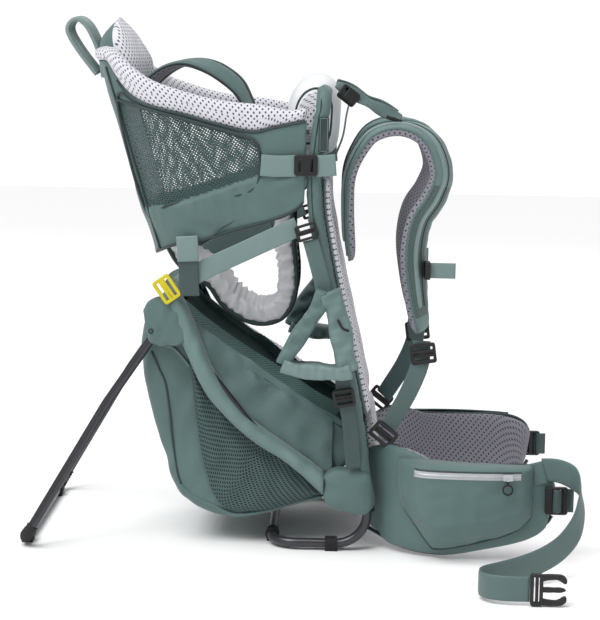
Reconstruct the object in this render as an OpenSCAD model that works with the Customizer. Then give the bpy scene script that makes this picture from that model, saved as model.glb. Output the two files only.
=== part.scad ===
// Framed child carrier, worn on the back: the wearer faces +X and the right side is -Y.
// The origin is on the floor below the middle of the carrier, which stands on its base loop
// and its opened kickstand.

/* [Frame] */
// Outer diameter of the aluminium frame tubes
tube_d = 12; // [10:0.5:14]
// Distance of the side tubes from the middle plane
frame_half = 142; // [138:1:146]
// Height of the top cross bar above the floor
frame_top = 585; // [575:1:600]
// Outer diameter of the fabric sleeve over each upright
sleeve_d = 18; // [15:0.5:19]

/* [Kickstand] */
// Height of the kickstand hinge above the floor
hinge_height = 288; // [280:1:294]
// Distance of the hinge behind the middle of the carrier
hinge_back = 166; // [164:1:170]
// Distance of each kickstand foot from the middle plane
foot_half = 170; // [160:1:176]
// Diameter of the hinge pins
pin_d = 6; // [5:0.5:7]

/* [Cockpit] */
// Distance of the cockpit's outer side face from the middle plane
cockpit_half = 150; // [148:0.5:152]
// Thickness of the cockpit shell
shell_wall = 4; // [3:0.5:4.5]
// Backward lean of the cockpit's rear wall in degrees
rear_lean = 17; // [15:0.5:18]

/* [Seat] */
// Half of the seat sling's width
sling_half = 62; // [50:1:70]
// Thickness of the padded seat sling
sling_thick = 24; // [18:1:26]

/* [Harness] */
// Thickness of the shoulder pads
shoulder_thick = 15; // [12:0.5:16]
// Distance of the shoulder pads' middle line from the middle plane
shoulder_mid = 92; // [86:1:96]
// Width of the shoulder pads
shoulder_w = 62; // [50:1:66]

/* [Hip belt] */
// Thickness of the padded hip fins
fin_thick = 18; // [14:1:20]
// Width of the hip webbing
hip_webbing_w = 30; // [28:1:32]
// Thickness of every webbing
webbing_t = 2; // [1.5:0.1:2.4]
// Width of the side webbings and the lower harness webbings
side_webbing_w = 25; // [20:1:26]

/* [Hidden] */
$fn = 48;
tube_r = tube_d / 2;
foot_r = 9;
sole_w = 14;
kickstand_foot_x = -338;
fit = 0.1;
floor_tube_z = foot_r;
// A bend is this much thicker than the straights, which reach a little way into it
bend_proud = 0.03;
bend_lap = 0.6;
pin_clearance = 0.05;
body_gap = 0.6;

green = [0.36, 0.46, 0.43];
dark_green = [0.22, 0.33, 0.31];
mesh_grey = [0.70, 0.70, 0.74];
satin_grey = [0.78, 0.78, 0.80];
tube_grey = [0.23, 0.23, 0.25];
buckle_black = [0.08, 0.08, 0.09];
lock_yellow = [0.86, 0.82, 0.16];
pad_white = [0.86, 0.87, 0.90];
zip_grey = [0.75, 0.76, 0.78];

// Side-view lines, as [x, z]
upright_line = [[36, frame_top], [25, 470], [39, 371], [83, 178], [97.2, 76]];
base_start = [97.8, 72];
base_front = [106.5, floor_tube_z];
base_rear_x = -22;
seat_tube_line = [[86, 58], [-48, 157], [-118, 245], [-150, 318]];
hinge = [-hinge_back, hinge_height];
rim_line = [[15, 551], [-26, 542], [-55, 536], [-103, 546], [-141, 556], [-191, 568], [-218, 586],
            [-238, 619]];
rim_top_line = [[-246, 630], [-238, 632], [-218, 614], [-189, 598], [-161, 589], [-123, 578],
                [-84, 571], [-47, 568], [-8, 562], [14, 560]];
gusset_line = [[-118, 282], [-56, 244], [21, 192], [62, 168]];
shoulder_line = [[70.5, 372], [65, 440], [65, 480], [84, 520], [130, 540], [176, 520], [188, 482],
                 [160, 425], [154, 350], [166, 282]];
sling_line = [[-176, 424], [-146, 372], [-104, 326], [-60, 294], [-30, 290], [-9, 312],
              [-8, 360], [-14, 410], [-15, 470]];
fin_plan = [[118, -112], [146, -146], [200, -168], [262, -173], [326, -168]];
fin_axis = fin_plan[0];
fin_root_r = fin_thick / 2 + 1;

// The free hip webbing: it leaves the right ladder lock, turns down to the floor and back,
// and ends in the buckle. Points of its middle line.
hip_strap_route = [[318, -178.8, 119], [338, -182, 119], [355, -191, 113], [365, -207, 98],
                   [363, -226, 76], [354, -246, 58], [336, -266, 42], [312, -284, 31],
                   [284, -300, 24], [258, -314, 20.5], [238, -330, 20], [231, -348, 20],
                   [238, -365, 20], [255, -374, 20], [272, -376, 20], [288, -376, 20]];
// Upward side of the webbing at those points
hip_strap_up = [[0, 0, 1], [0, 0, 1], [-0.05, 0, 1], [-0.2, -0.3, 1], [-0.3, -0.2, 1],
                [-0.25, 0, 1], [-0.1, 0.1, 1], [0, 0.15, 1], [0, 0.12, 1], [0, 0.1, 1],
                [0, 0, 1], [0, 0, 1], [0, 0, 1], [0, 0, 1], [0, 0, 1], [0, 0, 1]];

// ---- helpers ----

function unit(v) = v / norm(v);
function lerp(a, b, f) = a + (b - a) * f;
function side_points(line, y) = [for (p = line) [p.x, y, p[1]]];
function reversed(list) = [for (i = [len(list) - 1:-1:0]) list[i]];

// Point at height z on a side-view line that runs downward
function line_x(line, z, i = 0) =
    (i >= len(line) - 2 || z >= line[i + 1][1])
    ? lerp(line[i].x, line[i + 1].x, (line[i][1] - z) / (line[i][1] - line[i + 1][1]))
    : line_x(line, z, i + 1);

// Smooth curve through the given points
function spline_point(a, b, c, d, f) =
    0.5 * (2 * b + (c - a) * f + (2 * a - 5 * b + 4 * c - d) * f * f
           + (3 * b - a - 3 * c + d) * f * f * f);
function smooth(pts, steps) = [
    for (i = [0:len(pts) - 2], s = [0:steps - 1])
        spline_point(pts[max(i - 1, 0)], pts[i], pts[i + 1], pts[min(i + 2, len(pts) - 1)],
                     s / steps),
    pts[len(pts) - 1]];
function direction(pts, i) = unit(pts[min(i + 1, len(pts) - 1)] - pts[max(i - 1, 0)]);

// Closed outline of a band that follows a 2D line, offset to both sides
function band(line, low, high) = concat(
    [for (i = [0:len(line) - 1]) let (d = direction(line, i)) line[i] + [-d.y, d.x] * high],
    reversed([for (i = [0:len(line) - 1])
        let (d = direction(line, i)) line[i] + [-d.y, d.x] * low]));

// Carries children drawn for the right side over to the left
module mirrored(left) {
    if (left) mirror([0, 1, 0]) children();
    else children();
}

module both_sides() {
    children();
    mirror([0, 1, 0]) children();
}

// Turns children's +Z to a direction and moves them to a point
module facing(at, dir) {
    translate(at)
        rotate([0, acos(dir.z / norm(dir)), atan2(dir.y, dir.x)])
            children();
}

// Extrudes a side-view outline from y_low to y_high
module slab(outline, y_low, y_high) {
    translate([0, y_high, 0])
        rotate([90, 0, 0])
            linear_extrude(y_high - y_low)
                polygon(outline);
}

module rod(a, b, r) {
    facing(a, b - a) cylinder(h = norm(b - a), r = r);
}

module bend(start, entry, exit, radius, r) {
    angle = acos(entry * exit);
    inward = unit(exit - entry * (entry * exit));
    centre = start + inward * radius;
    x_axis = -inward;
    z_axis = cross(x_axis, entry);
    multmatrix([[x_axis.x, entry.x, z_axis.x, centre.x],
                [x_axis.y, entry.y, z_axis.y, centre.y],
                [x_axis.z, entry.z, z_axis.z, centre.z]])
        rotate_extrude(angle = angle)
            translate([radius, 0])
                circle(r = r + bend_proud);
}

// Round tube along a line of points with a bend radius at each inner point
module tube_run(pts, radii, r) {
    count = len(pts);
    cut = [for (i = [0:count - 1])
        (i == 0 || i == count - 1) ? 0
        : radii[i - 1] * tan(acos(unit(pts[i] - pts[i - 1]) * unit(pts[i + 1] - pts[i])) / 2)];
    for (i = [0:count - 2]) {
        along = unit(pts[i + 1] - pts[i]);
        start_lap = i == 0 ? 0 : bend_lap;
        end_lap = i == count - 2 ? 0 : bend_lap;
        rod(pts[i] + along * (cut[i] - start_lap), pts[i + 1] - along * (cut[i + 1] - end_lap), r);
    }
    for (i = [1:count - 2]) {
        entry = unit(pts[i] - pts[i - 1]);
        bend(pts[i] - entry * cut[i], entry, unit(pts[i + 1] - pts[i]), radii[i - 1], r);
    }
}

// Flat webbing along a line of points; ups holds the direction of its width at each point
module ribbon(pts, ups, width, thick) {
    count = len(pts);
    rings = [for (i = [0:count - 1])
        let (along = direction(pts, i))
        let (flat = unit(cross(along, ups[i])))
        let (wide = cross(flat, along))
        [pts[i] - wide * width / 2 - flat * thick / 2, pts[i] + wide * width / 2 - flat * thick / 2,
         pts[i] + wide * width / 2 + flat * thick / 2, pts[i] - wide * width / 2 + flat * thick / 2]];
    low_sides = [for (i = [0:count - 2], k = [0:3])
        [4 * i + k, 4 * i + (k + 1) % 4, 4 * i + 4 + (k + 1) % 4]];
    high_sides = [for (i = [0:count - 2], k = [0:3])
        [4 * i + k, 4 * i + 4 + (k + 1) % 4, 4 * i + 4 + k]];
    last = 4 * (count - 1);
    polyhedron(points = [for (ring = rings, p = ring) p],
               faces = concat(low_sides, high_sides, [[3, 2, 1, 0]],
                              [[last, last + 1, last + 2, last + 3]]));
}

// Webbing lying flat against the carrier's side, with its width in the side view
module side_webbing(line, y, width = side_webbing_w) {
    pts = side_points(line, y);
    ups = [for (i = [0:len(pts) - 1]) cross(direction(pts, i), [0, 1, 0])];
    ribbon(pts, ups, width, webbing_t);
}

// Webbing whose width runs across the carrier
module cross_webbing(pts, width) {
    ribbon(pts, [for (p = pts) [0, 1, 0]], width, webbing_t);
}

// Ladder lock for webbing of the given width, lying in its X-Y plane, webbing along X
module ladder_lock(width, length = 22, thick = 5) {
    bar = 4;
    difference() {
        translate([-length / 2, -width / 2 - bar, 0]) cube([length, width + 2 * bar, thick]);
        for (end = [-1, 1])
            translate([end * length / 4 - 2.5, -width / 2, -1]) cube([5, width, thick + 2]);
    }
}

// Stands a lock drawn in the X-Y plane against the carrier's side, turned in the side view
module on_side(x, y, z, turn) {
    translate([x, y, z])
        rotate([0, turn, 0])
            rotate([90, 0, 0])
                children();
}

// ---- frame ----

function upright_points(y) = side_points(reversed(upright_line), y);

module back_frame() color(tube_grey) {
    right = upright_points(-frame_half);
    left = side_points(upright_line, frame_half);
    tube_run(concat(right, left), [400, 300, 300, 45, 45, 300, 300, 400], tube_r);
}

module base_loop() color(tube_grey) {
    right = [[base_start.x, -frame_half, base_start.y], [base_front.x, -frame_half, base_front.y],
             [base_rear_x, -frame_half, floor_tube_z]];
    left = [for (p = reversed(right)) [p.x, -p.y, p.z]];
    tube_run(concat(right, left), [40, 32, 32, 40], tube_r);
}

module seat_frame() color(tube_grey) {
    right = side_points(seat_tube_line, -frame_half);
    left = side_points(reversed(seat_tube_line), frame_half);
    tube_run(concat(right, left), [150, 150, 22, 22, 150, 150], tube_r);
}

module coupler_body(r) {
    upright_dir = unit(upright_line[4] - upright_line[3]);
    seat_dir = unit(seat_tube_line[1] - seat_tube_line[0]);
    top = upright_line[4] - upright_dir * 20;
    low = base_start + unit(base_front - base_start) * 20;
    seat_in = seat_tube_line[0] - seat_dir * 4;
    seat_out = seat_tube_line[0] + seat_dir * 22;
    rod([top.x, -frame_half, top.y], [low.x, -frame_half, low.y], r);
    rod([seat_in.x, -frame_half, seat_in.y], [seat_out.x, -frame_half, seat_out.y], r);
}

module coupler_bores() {
    upright_dir = unit(upright_line[4] - upright_line[3]);
    base_dir = unit(base_front - base_start);
    seat_dir = unit(seat_tube_line[1] - seat_tube_line[0]);
    far_up = upright_line[4] - upright_dir * 30;
    far_low = base_start + base_dir * 30;
    far_seat = seat_tube_line[0] + seat_dir * 32;
    y = -frame_half;
    rod([upright_line[4].x, y, upright_line[4].y], [far_up.x, y, far_up.y], tube_r + fit / 2);
    rod([base_start.x, y, base_start.y], [far_low.x, y, far_low.y], tube_r + fit / 2);
    rod([seat_tube_line[0].x, y, seat_tube_line[0].y], [far_seat.x, y, far_seat.y],
        tube_r + fit / 2);
}

module frame_couplers() color(buckle_black) {
    both_sides()
        difference() {
            coupler_body(10);
            coupler_bores();
        }
}

module base_feet() color(buckle_black) {
    both_sides() {
        translate([55, -frame_half, floor_tube_z]) foot(16, 0);
        translate([base_rear_x, -96, floor_tube_z]) foot(16, 90);
    }
}

// Rubber clip round a tube, with a flat sole on the floor
module foot(length, turn) {
    rotate([0, 0, turn])
        difference() {
            union() {
                rotate([0, 90, 0]) cylinder(h = length, r = foot_r, center = true);
                translate([-length / 2, -sole_w / 2, -foot_r]) cube([length, sole_w, foot_r]);
            }
            rotate([0, 90, 0]) cylinder(h = length + 2, r = tube_r + fit / 2, center = true);
        }
}

module cockpit_stay() color(tube_grey) {
    y = cockpit_half - 9;
    tube_run([[18, -y, 536], [-55, -y, 526], [-228, -y, 574], [-228, y, 574], [-55, y, 526],
              [18, y, 536]], [60, 80, 80, 60], 3);
}

// ---- kickstand ----

module kickstand_tube() color(tube_grey) {
    leg_y = 127;
    kink = [-236, -137, 185];
    foot = [kickstand_foot_x, -foot_half, floor_tube_z];
    top = [hinge.x, -leg_y, hinge.y];
    leg_start = top + unit(kink - top) * 8;
    difference() {
        union() {
            tube_run([leg_start, kink, foot, [foot.x, -foot.y, foot.z],
                      [kink.x, -kink.y, kink.z], [leg_start.x, -leg_start.y, leg_start.z]],
                     [120, 26, 26, 120], tube_r);
            both_sides()
                translate(top) rotate([90, 0, 0]) cylinder(h = 12, r = 9, center = true);
        }
        both_sides()
            translate(top)
                rotate([90, 0, 0])
                    cylinder(h = 20, r = pin_d / 2 + pin_clearance, center = true);
    }
}

module kickstand_feet() color(buckle_black) {
    both_sides()
        translate([kickstand_foot_x, -foot_half + 40, floor_tube_z]) foot(18, 90);
}

module kickstand_brackets() color(buckle_black) {
    seat_dir = unit(seat_tube_line[3] - seat_tube_line[2]);
    ring_mid = seat_tube_line[2] + seat_dir * ((hinge_height - seat_tube_line[2].y) / seat_dir.y);
    ring_low = ring_mid - seat_dir * 9;
    ring_high = ring_mid + seat_dir * 9;
    a = [ring_low.x, -frame_half, ring_low.y];
    b = [ring_high.x, -frame_half, ring_high.y];
    far_a = a - (b - a);
    far_b = b + (b - a);
    both_sides()
        difference() {
            union() {
                rod(a, b, 9.5);
                bracket_arm(-139.5, 5, ring_mid.x);
                bracket_arm(-120, 4.5, -144);
                translate([-154, -139.5, hinge_height - 9]) cube([10, 24, 18]);
            }
            rod(far_a, far_b, tube_r + fit / 2);
            translate([hinge.x, -110, hinge.y])
                rotate([90, 0, 0])
                    cylinder(h = 40, r = pin_d / 2 + pin_clearance);
            translate([hinge.x, -121, hinge.y])
                rotate([90, 0, 0])
                    cylinder(h = 13.5, r = 11);
        }
}

module bracket_arm(y, thick, to_x) {
    translate([hinge.x, y + thick, hinge.y])
        rotate([90, 0, 0])
            cylinder(h = thick, r = 9);
    translate([hinge.x, y, hinge.y - 9]) cube([to_x - hinge.x, thick, 18]);
}

module kickstand_pins() color(tube_grey) {
    both_sides() {
        translate([hinge.x, -114.9, hinge.y])
            rotate([90, 0, 0])
                cylinder(h = 24.7, r = pin_d / 2);
        translate([hinge.x, -139.6, hinge.y]) rotate([90, 0, 0]) cylinder(h = 2, r = 5);
    }
}

// ---- back ----

module back_panel() color(green) {
    line = [for (z = [574, 470, 371, 178, 104]) [line_x(upright_line, z), z]];
    right_edge = [[-131, 90], [-131, 528], [-92, 566], [-92, 590]];
    left_edge = [for (p = reversed(right_edge)) [-p.x, p.y]];
    intersection() {
        slab(band(line, -3, 3), -131, 131);
        rotate([90, 0, 90]) linear_extrude(200) polygon(concat(right_edge, left_edge));
    }
}

module frame_sleeves() color(green) {
    sleeve_line = [for (z = [112, 178, 371, 470, 534]) [line_x(upright_line, z), -frame_half, z]];
    bore_line = [for (z = [100, 178, 371, 470, 560]) [line_x(upright_line, z), -frame_half, z]];
    both_sides()
        difference() {
            tube_run(sleeve_line, [400, 300, 300], sleeve_d / 2);
            tube_run(bore_line, [400, 300, 300], tube_r + fit);
        }
}

module side_tube_sleeves() color(green) {
    both_sides()
        for (i = [0:2]) {
            start = seat_tube_line[i];
            end = seat_tube_line[i + 1];
            along = unit(end - start);
            low = start + along * (i == 0 ? 54 : 20);
            high = end - along * (i == 2 ? 62 : 20);
            facing([low.x, -frame_half, low.y], [along.x, 0, along.y])
                linear_extrude(norm(high - low))
                    difference() {
                        union() {
                            square([16, 16], center = true);
                            for (end_side = [-1, 1])
                                translate([end_side * 8, 0]) circle(r = 8);
                        }
                        circle(r = tube_r + fit);
                    }
        }
}

module frame_boots() color(green) {
    outline = [[58, 104], [108, 104], [112, 56], [90, 46], [50, 66]];
    both_sides()
        difference() {
            slab(outline, -frame_half - 15, -frame_half + 15);
            coupler_body(10.4);
            rod([114, -frame_half, -44], [86, -frame_half, 158], tube_r + 1);
            rod([110, -frame_half, 40.3], [20, -frame_half, 106.8], tube_r + 1);
        }
}

module back_pads() color(mesh_grey) {
    line = [for (z = [473, 420, 371, 275, 180]) [line_x(upright_line, z) + 7, z]];
    both_sides()
        slab(band(line, 0, 15), -128, -40);
}

module lumbar_pad() color(mesh_grey) {
    line = [for (z = [168, 110, 50]) [line_x(upright_line, z) + 6, z]];
    slab(band(line, 0, 16), -98, 98);
}

module chin_pad() color(pad_white) {
    outline = smooth([[-8, 506], [-13, 545], [-8, 578], [6, 598], [26, 606], [44, 600],
                      [54, 582], [56, 560], [50, 512]], 4);
    difference() {
        slab(outline, -94, 94);
        translate([24, -120, 500]) cube([23, 240, frame_top + tube_r + 1 - 500]);
    }
}

module blank_label() color(buckle_black) {
    translate([30, -frame_half - sleeve_d / 2 - 1.8, 511]) cube([12, 1.2, 44]);
}

// ---- cockpit ----

// U-shaped wall seen along its own lean: open at the front
module wall_plan(half, wall, rear_x) {
    corner = 78;
    difference() {
        u_plan(half, rear_x, corner);
        u_plan(half - wall, rear_x + wall, corner - wall);
    }
}

module u_plan(half, rear_x, corner) {
    translate([rear_x + corner, -half]) square([400, 2 * half]);
    translate([rear_x, -half + corner]) square([corner + 1, 2 * (half - corner)]);
    for (end = [-1, 1])
        translate([rear_x + corner, end * (half - corner)]) circle(r = corner);
}

// Leaning U wall, cut by a side-view outline
module leaning_wall(outline, half, wall, inset) {
    foot = [-181, 374];
    intersection() {
        slab(outline, -200, 200);
        translate([foot.x, 0, foot.y])
            rotate([0, -rear_lean, 0])
                translate([0, 0, -80])
                    linear_extrude(420)
                        wall_plan(half, wall, inset);
    }
}

cockpit_lower_line = [[12, 447], [0, 436], [-24, 425], [-73, 411], [-111, 398], [-151, 390],
                      [-181, 374]];
window_outline = [[-212, 562], [-151, 548], [-60, 524], [-46, 514], [-44, 480], [-52, 464],
                  [-83, 455], [-156, 444], [-182, 438]];

module cockpit_shell() color(green) {
    top = [for (p = rim_line) [p.x, p.y - body_gap]];
    outline = concat(top, [[-262, 619], [-262, 590], [-200, 374]], reversed(cockpit_lower_line));
    difference() {
        leaning_wall(outline, cockpit_half, shell_wall, 0);
        slab(window_outline, -200, 200);
    }
}

module mesh_windows() color(dark_green) {
    both_sides()
        slab(window_outline, -cockpit_half + shell_wall + 0.3, -cockpit_half + shell_wall + 1.1);
}

module rim_pad() color(mesh_grey) {
    outline = concat(rim_line, [[-262, 622], [-262, 632]], rim_top_line);
    leaning_wall(outline, cockpit_half + 2, 24, -2);
}

module headrest() color(mesh_grey) {
    facing([-226, 0, 634], [-1, 0, 0.32])
        linear_extrude(34)
            difference() {
                translate([-8, 0]) arch(84, 26);
                translate([0, -100]) square([60, 200]);
            }
}

// Half-round arch of the given half width and height, rising toward -X
module arch(half, height) {
    polygon(concat([for (a = [0:7.5:180]) [-height * sin(a), half * cos(a)]], [[8, -half], [8, half]]));
}

module grab_handle() color(green) {
    path = smooth([[-266, 612], [-284, 630], [-301, 652], [-301, 668], [-288, 676], [-274, 668],
                   [-270, 656]], 3);
    cross_webbing(side_points(path, 0), 28);
}

module child_back_pad() color(mesh_grey) {
    slab([[-197, 446], [-233, 563], [-219, 567], [-183, 450]], -70, 70);
}

module seat_sling() color(satin_grey) {
    slab(band(smooth(sling_line, 4), -sling_thick / 2, sling_thick / 2), -sling_half, sling_half);
}

child_pad_line = [[-200, 584], [-182, 606], [-146, 620], [-108, 611], [-76, 586], [-62, 556]];

module child_shoulder_pads() color(green) {
    both_sides()
        slab(band(smooth(child_pad_line, 4), -4.5, 4.5), -56, -26);
}

module child_harness_straps() color(dark_green) {
    both_sides()
        cross_webbing([[-58, -41, 548], [-50, -32, 510], [-46, -16, 478]], 20);
    cross_webbing([[-45, 0, 434], [-36, 0, 416], [-30, 0, 398]], 20);
}

module child_buckle() color(buckle_black) {
    slab([[-53, 436], [-41, 436], [-39, 474], [-50, 476]], -22, 22);
}

// ---- bags ----

module storage_bag() color(green) {
    panel_low = line_x(upright_line, 106) - 5;
    panel_high = line_x(upright_line, 166) - 5;
    rear = smooth([[-178, 304], [-188, 266], [-186, 226], [-172, 170], [-147, 88], [-120, 62],
                   [-78, 45], [-50, 43], [-18, 51], [43, 76]], 3);
    slab(concat(rear, [[panel_low, 106], [panel_high, 166], [21, 192], [-56, 244], [-118, 284],
                       [-136, 302]]), -110, 110);
}

module side_pockets() color(dark_green) {
    low = smooth([[-138, 226], [-137, 96], [-116, 64], [-77, 47], [-50, 45], [-18, 53], [42, 84]],
                 3);
    both_sides()
        slab(concat(low, [[36, 94], [-48, 156], [-106, 229]]), -131, -110.6);
}

module leg_gussets() color(dark_green) {
    outline = concat([[-104, 232], [-47, 157.5], [38, 94.5], [56, 108], [66, 140]],
                     reversed(gusset_line));
    both_sides()
        slab(outline, -127, -110.6);
}

// ---- side straps ----

strap_y = -frame_half - 12;

module seat_straps() color(green) {
    both_sides() {
        side_webbing([[-140, 341], [-117, 358], [-54, 389], [4, 417]], strap_y);
        side_webbing([[-132, 398], [-131, 370], [-129, 330]], strap_y - 5);
        side_webbing([[-58, 493], [-30, 493], [-1.5, 494]], strap_y);
        side_webbing([[30.5, 494], [40, 495], [52, 496]], strap_y);
    }
}

module yellow_ladder_locks() color(lock_yellow) {
    both_sides()
        on_side(-158, strap_y + 1.5, 336, -35) ladder_lock(side_webbing_w, 24);
}

module side_entry_buckles() color(buckle_black) {
    both_sides()
        translate([0, strap_y - 6, 482])
            difference() {
                cube([29, 8, 26]);
                translate([5, -1, 5]) cube([4, 10, 16]);
                translate([20, -1, 5]) cube([4, 10, 16]);
            }
}

module stirrup(left) {
    outer = smooth([[34, 330], [8, 286], [-12, 252], [-8, 241], [20, 234], [62, 234], [78, 238],
                    [72, 286], [52, 330]], 3);
    inner = [[38, 284], [24, 262], [22, 252], [56, 250], [52, 284]];
    color(green)
        mirrored(left)
            difference() {
                slab(outer, -188, -154);
                slab(inner, -190, -150);
            }
}

module stirrup_right() stirrup(false);
module stirrup_left() stirrup(true);

module stirrup_straps() color(green) {
    both_sides() {
        side_webbing([[22, 400], [32, 368], [42, 332]], -158, 20);
        side_webbing([[66, 232.5], [68, 208], [76, 172], [82, 112]], -161, 20);
    }
}

module stirrup_buckles() color(buckle_black) {
    both_sides() {
        on_side(17, -157, 412, 72) ladder_lock(20, 20);
        on_side(68, -163, 203, 80) ladder_lock(20, 22);
    }
}

// ---- harness ----

module shoulder_pad(left) {
    outline = band(smooth(shoulder_line, 4), -shoulder_thick / 2, shoulder_thick / 2);
    color(green)
        mirrored(left)
            slab(outline, -shoulder_mid - shoulder_w / 2, -shoulder_mid + shoulder_w / 2);
}

module shoulder_pad_right() shoulder_pad(false);
module shoulder_pad_left() shoulder_pad(true);

module load_lifter_straps() color(green) {
    both_sides()
        cross_webbing([[52, -100, 594], [70, -99, 584], [92, -98, 574], [112, -96, 563],
                       [130, -94, 555]], 20);
}

module load_lifter_buckles() color(buckle_black) {
    both_sides()
        translate([124, -95, 550.5]) rotate([0, 16, 0]) ladder_lock(20, 20, 4);
}

module harness_lower_straps() color(green) {
    both_sides()
        cross_webbing([[166.5, -94, 262], [162, -98, 236], [150, -106, 202], [131, -116, 168],
                       [125.5, -120, 157]], side_webbing_w);
}

module harness_ladder_locks() color(buckle_black) {
    both_sides()
        translate([168.5, -93, 262]) rotate([0, 78, 0]) ladder_lock(side_webbing_w, 24, 5);
}

module belt_adjusters() color(buckle_black) {
    both_sides()
        translate([119, -123, 151.5]) rotate([0, 60, 0]) rotate([0, 0, 8])
            ladder_lock(side_webbing_w, 24, 5);
}

module sternum_slider(left) {
    front_x = 168.5;
    color(buckle_black)
        mirrored(left) {
            difference() {
                translate([front_x, -106, 348]) cube([7, 26, 22]);
                translate([front_x + 2, -110, 354]) cube([3, 40, 10]);
            }
            translate([front_x + 7, -95, 349]) cube([32, 2.4, 20]);
        }
}

module sternum_slider_right() sternum_slider(false);
module sternum_slider_left() sternum_slider(true);

// ---- hip belt ----

fin_side_outline = [[96, 110], [130, 138], [178, 124], [241, 122], [300, 122], [326, 118],
                    [330, 52], [296, 28], [244, 15], [194, 7], [143, 9], [96, 22]];
pocket_outline = [[140, 126], [143, 100], [142, 70], [174, 24], [184, 12], [280, 36], [318, 56],
                  [300, 126]];
zip_z = 114;

module hip_fin(left) {
    plan = band(smooth(fin_plan, 4), -fin_thick / 2, fin_thick / 2);
    color(green)
        mirrored(left)
            intersection() {
                slab(fin_side_outline, -220, -80);
                union() {
                    linear_extrude(160) polygon(plan);
                    translate(fin_axis) cylinder(h = 160, r = fin_root_r);
                }
            }
}

module hip_fin_right() hip_fin(false);
module hip_fin_left() hip_fin(true);

module hip_pocket(left) {
    plan = smooth(fin_plan, 4);
    gap = fin_thick / 2 + 0.6;
    back = [for (i = [0:len(plan) - 1])
        let (d = direction(plan, i))
        let (p = plan[i] + [d.y, -d.x] * gap)
        if (p.x > 136 && p.x < 322) p];
    front = [[308, -188], [290, -199], [230, -203], [172, -198], [146, -176]];
    color(green)
        mirrored(left)
            difference() {
                intersection() {
                    slab(pocket_outline, -220, -100);
                    linear_extrude(160) polygon(concat(back, front));
                }
                translate([166, -230, zip_z - 2.5]) cube([116, 30, 5]);
            }
}

module hip_pocket_right() hip_pocket(false);
module hip_pocket_left() hip_pocket(true);

zip_x = 274;
zip_y = -207.8;

module zip_slider(left) {
    color(zip_grey)
        mirrored(left) {
            translate([zip_x - 6, zip_y, zip_z - 4]) cube([12, 4, 8]);
            translate([zip_x - 1.5, zip_y - 3, zip_z - 4]) cube([3, 3.5, 2]);
        }
}

module zip_slider_right() zip_slider(false);
module zip_slider_left() zip_slider(true);

module zip_pull(left) {
    color(buckle_black)
        mirrored(left)
            translate([zip_x, zip_y - 1.4, zip_z - 15]) {
                rotate([90, 0, 0])
                    difference() {
                        cylinder(h = 2, r = 7, center = true);
                        cylinder(h = 4, r = 5, center = true);
                    }
                translate([-1, -0.6, 6.4]) cube([2, 1.2, 3.4]);
                translate([0, 0, 9.8]) rotate([0, 90, 0]) cylinder(h = 3, r = 0.8, center = true);
            }
}

module zip_pull_right() zip_pull(false);
module zip_pull_left() zip_pull(true);

module hip_ladder_lock(left) {
    half = hip_webbing_w / 2;
    color(buckle_black)
        mirrored(left)
            translate([340, -176.5, 80])
                rotate([90, 0, 0])
                    difference() {
                        union() {
                            translate([-12, -half - 2.5, 0]) cube([24, hip_webbing_w + 5, 7]);
                            translate([-18, -half - 1, 2]) cube([7, hip_webbing_w + 2, 3]);
                        }
                        translate([-8, -half, -1]) cube([5, hip_webbing_w, 9]);
                        translate([1, -half, -1]) cube([6, hip_webbing_w, 9]);
                    }
}

module hip_ladder_lock_right() hip_ladder_lock(false);
module hip_ladder_lock_left() hip_ladder_lock(true);

module hip_strap() color(green)
    ribbon(smooth(hip_strap_route, 2), smooth(hip_strap_up, 2), hip_webbing_w, webbing_t);

module hip_strap_buckle() color(buckle_black) {
    half = hip_webbing_w / 2 + 4;
    prong = [[12, 9.5], [22, 12.4], [34, 12.8], [43, 7.6], [43, 13.3], [38, 18], [24, 19],
             [12, 18]];
    translate([288, -376, 20])
        rotate([90, 0, 0])
            translate([0, 0, -4]) {
                difference() {
                    translate([1, -half, 0]) cube([14, 2 * half, 8]);
                    translate([5, -half + 4, -1]) cube([5, 2 * half - 8, 10]);
                }
                translate([13, -2.5, 1]) cube([29, 5, 6]);
                for (turn = [0, 1])
                    mirror([0, turn, 0])
                        translate([0, 0, 1]) linear_extrude(6) polygon(prong);
            }
}

back_frame();
base_loop();
seat_frame();
frame_couplers();
base_feet();
cockpit_stay();
kickstand_tube();
kickstand_feet();
kickstand_brackets();
kickstand_pins();
back_panel();
frame_sleeves();
side_tube_sleeves();
frame_boots();
back_pads();
lumbar_pad();
chin_pad();
blank_label();
cockpit_shell();
mesh_windows();
rim_pad();
headrest();
grab_handle();
child_back_pad();
seat_sling();
child_shoulder_pads();
child_harness_straps();
child_buckle();
storage_bag();
side_pockets();
leg_gussets();
seat_straps();
yellow_ladder_locks();
side_entry_buckles();
stirrup_right();
stirrup_left();
stirrup_straps();
stirrup_buckles();
shoulder_pad_right();
shoulder_pad_left();
load_lifter_straps();
load_lifter_buckles();
harness_lower_straps();
harness_ladder_locks();
belt_adjusters();
sternum_slider_right();
sternum_slider_left();
hip_fin_right();
hip_fin_left();
hip_pocket_right();
hip_pocket_left();
zip_slider_right();
zip_slider_left();
zip_pull_right();
zip_pull_left();
hip_ladder_lock_right();
hip_ladder_lock_left();
hip_strap();
hip_strap_buckle();
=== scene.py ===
import math

import bmesh
import bpy
import numpy as np
from mathutils import Matrix, Vector


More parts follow.
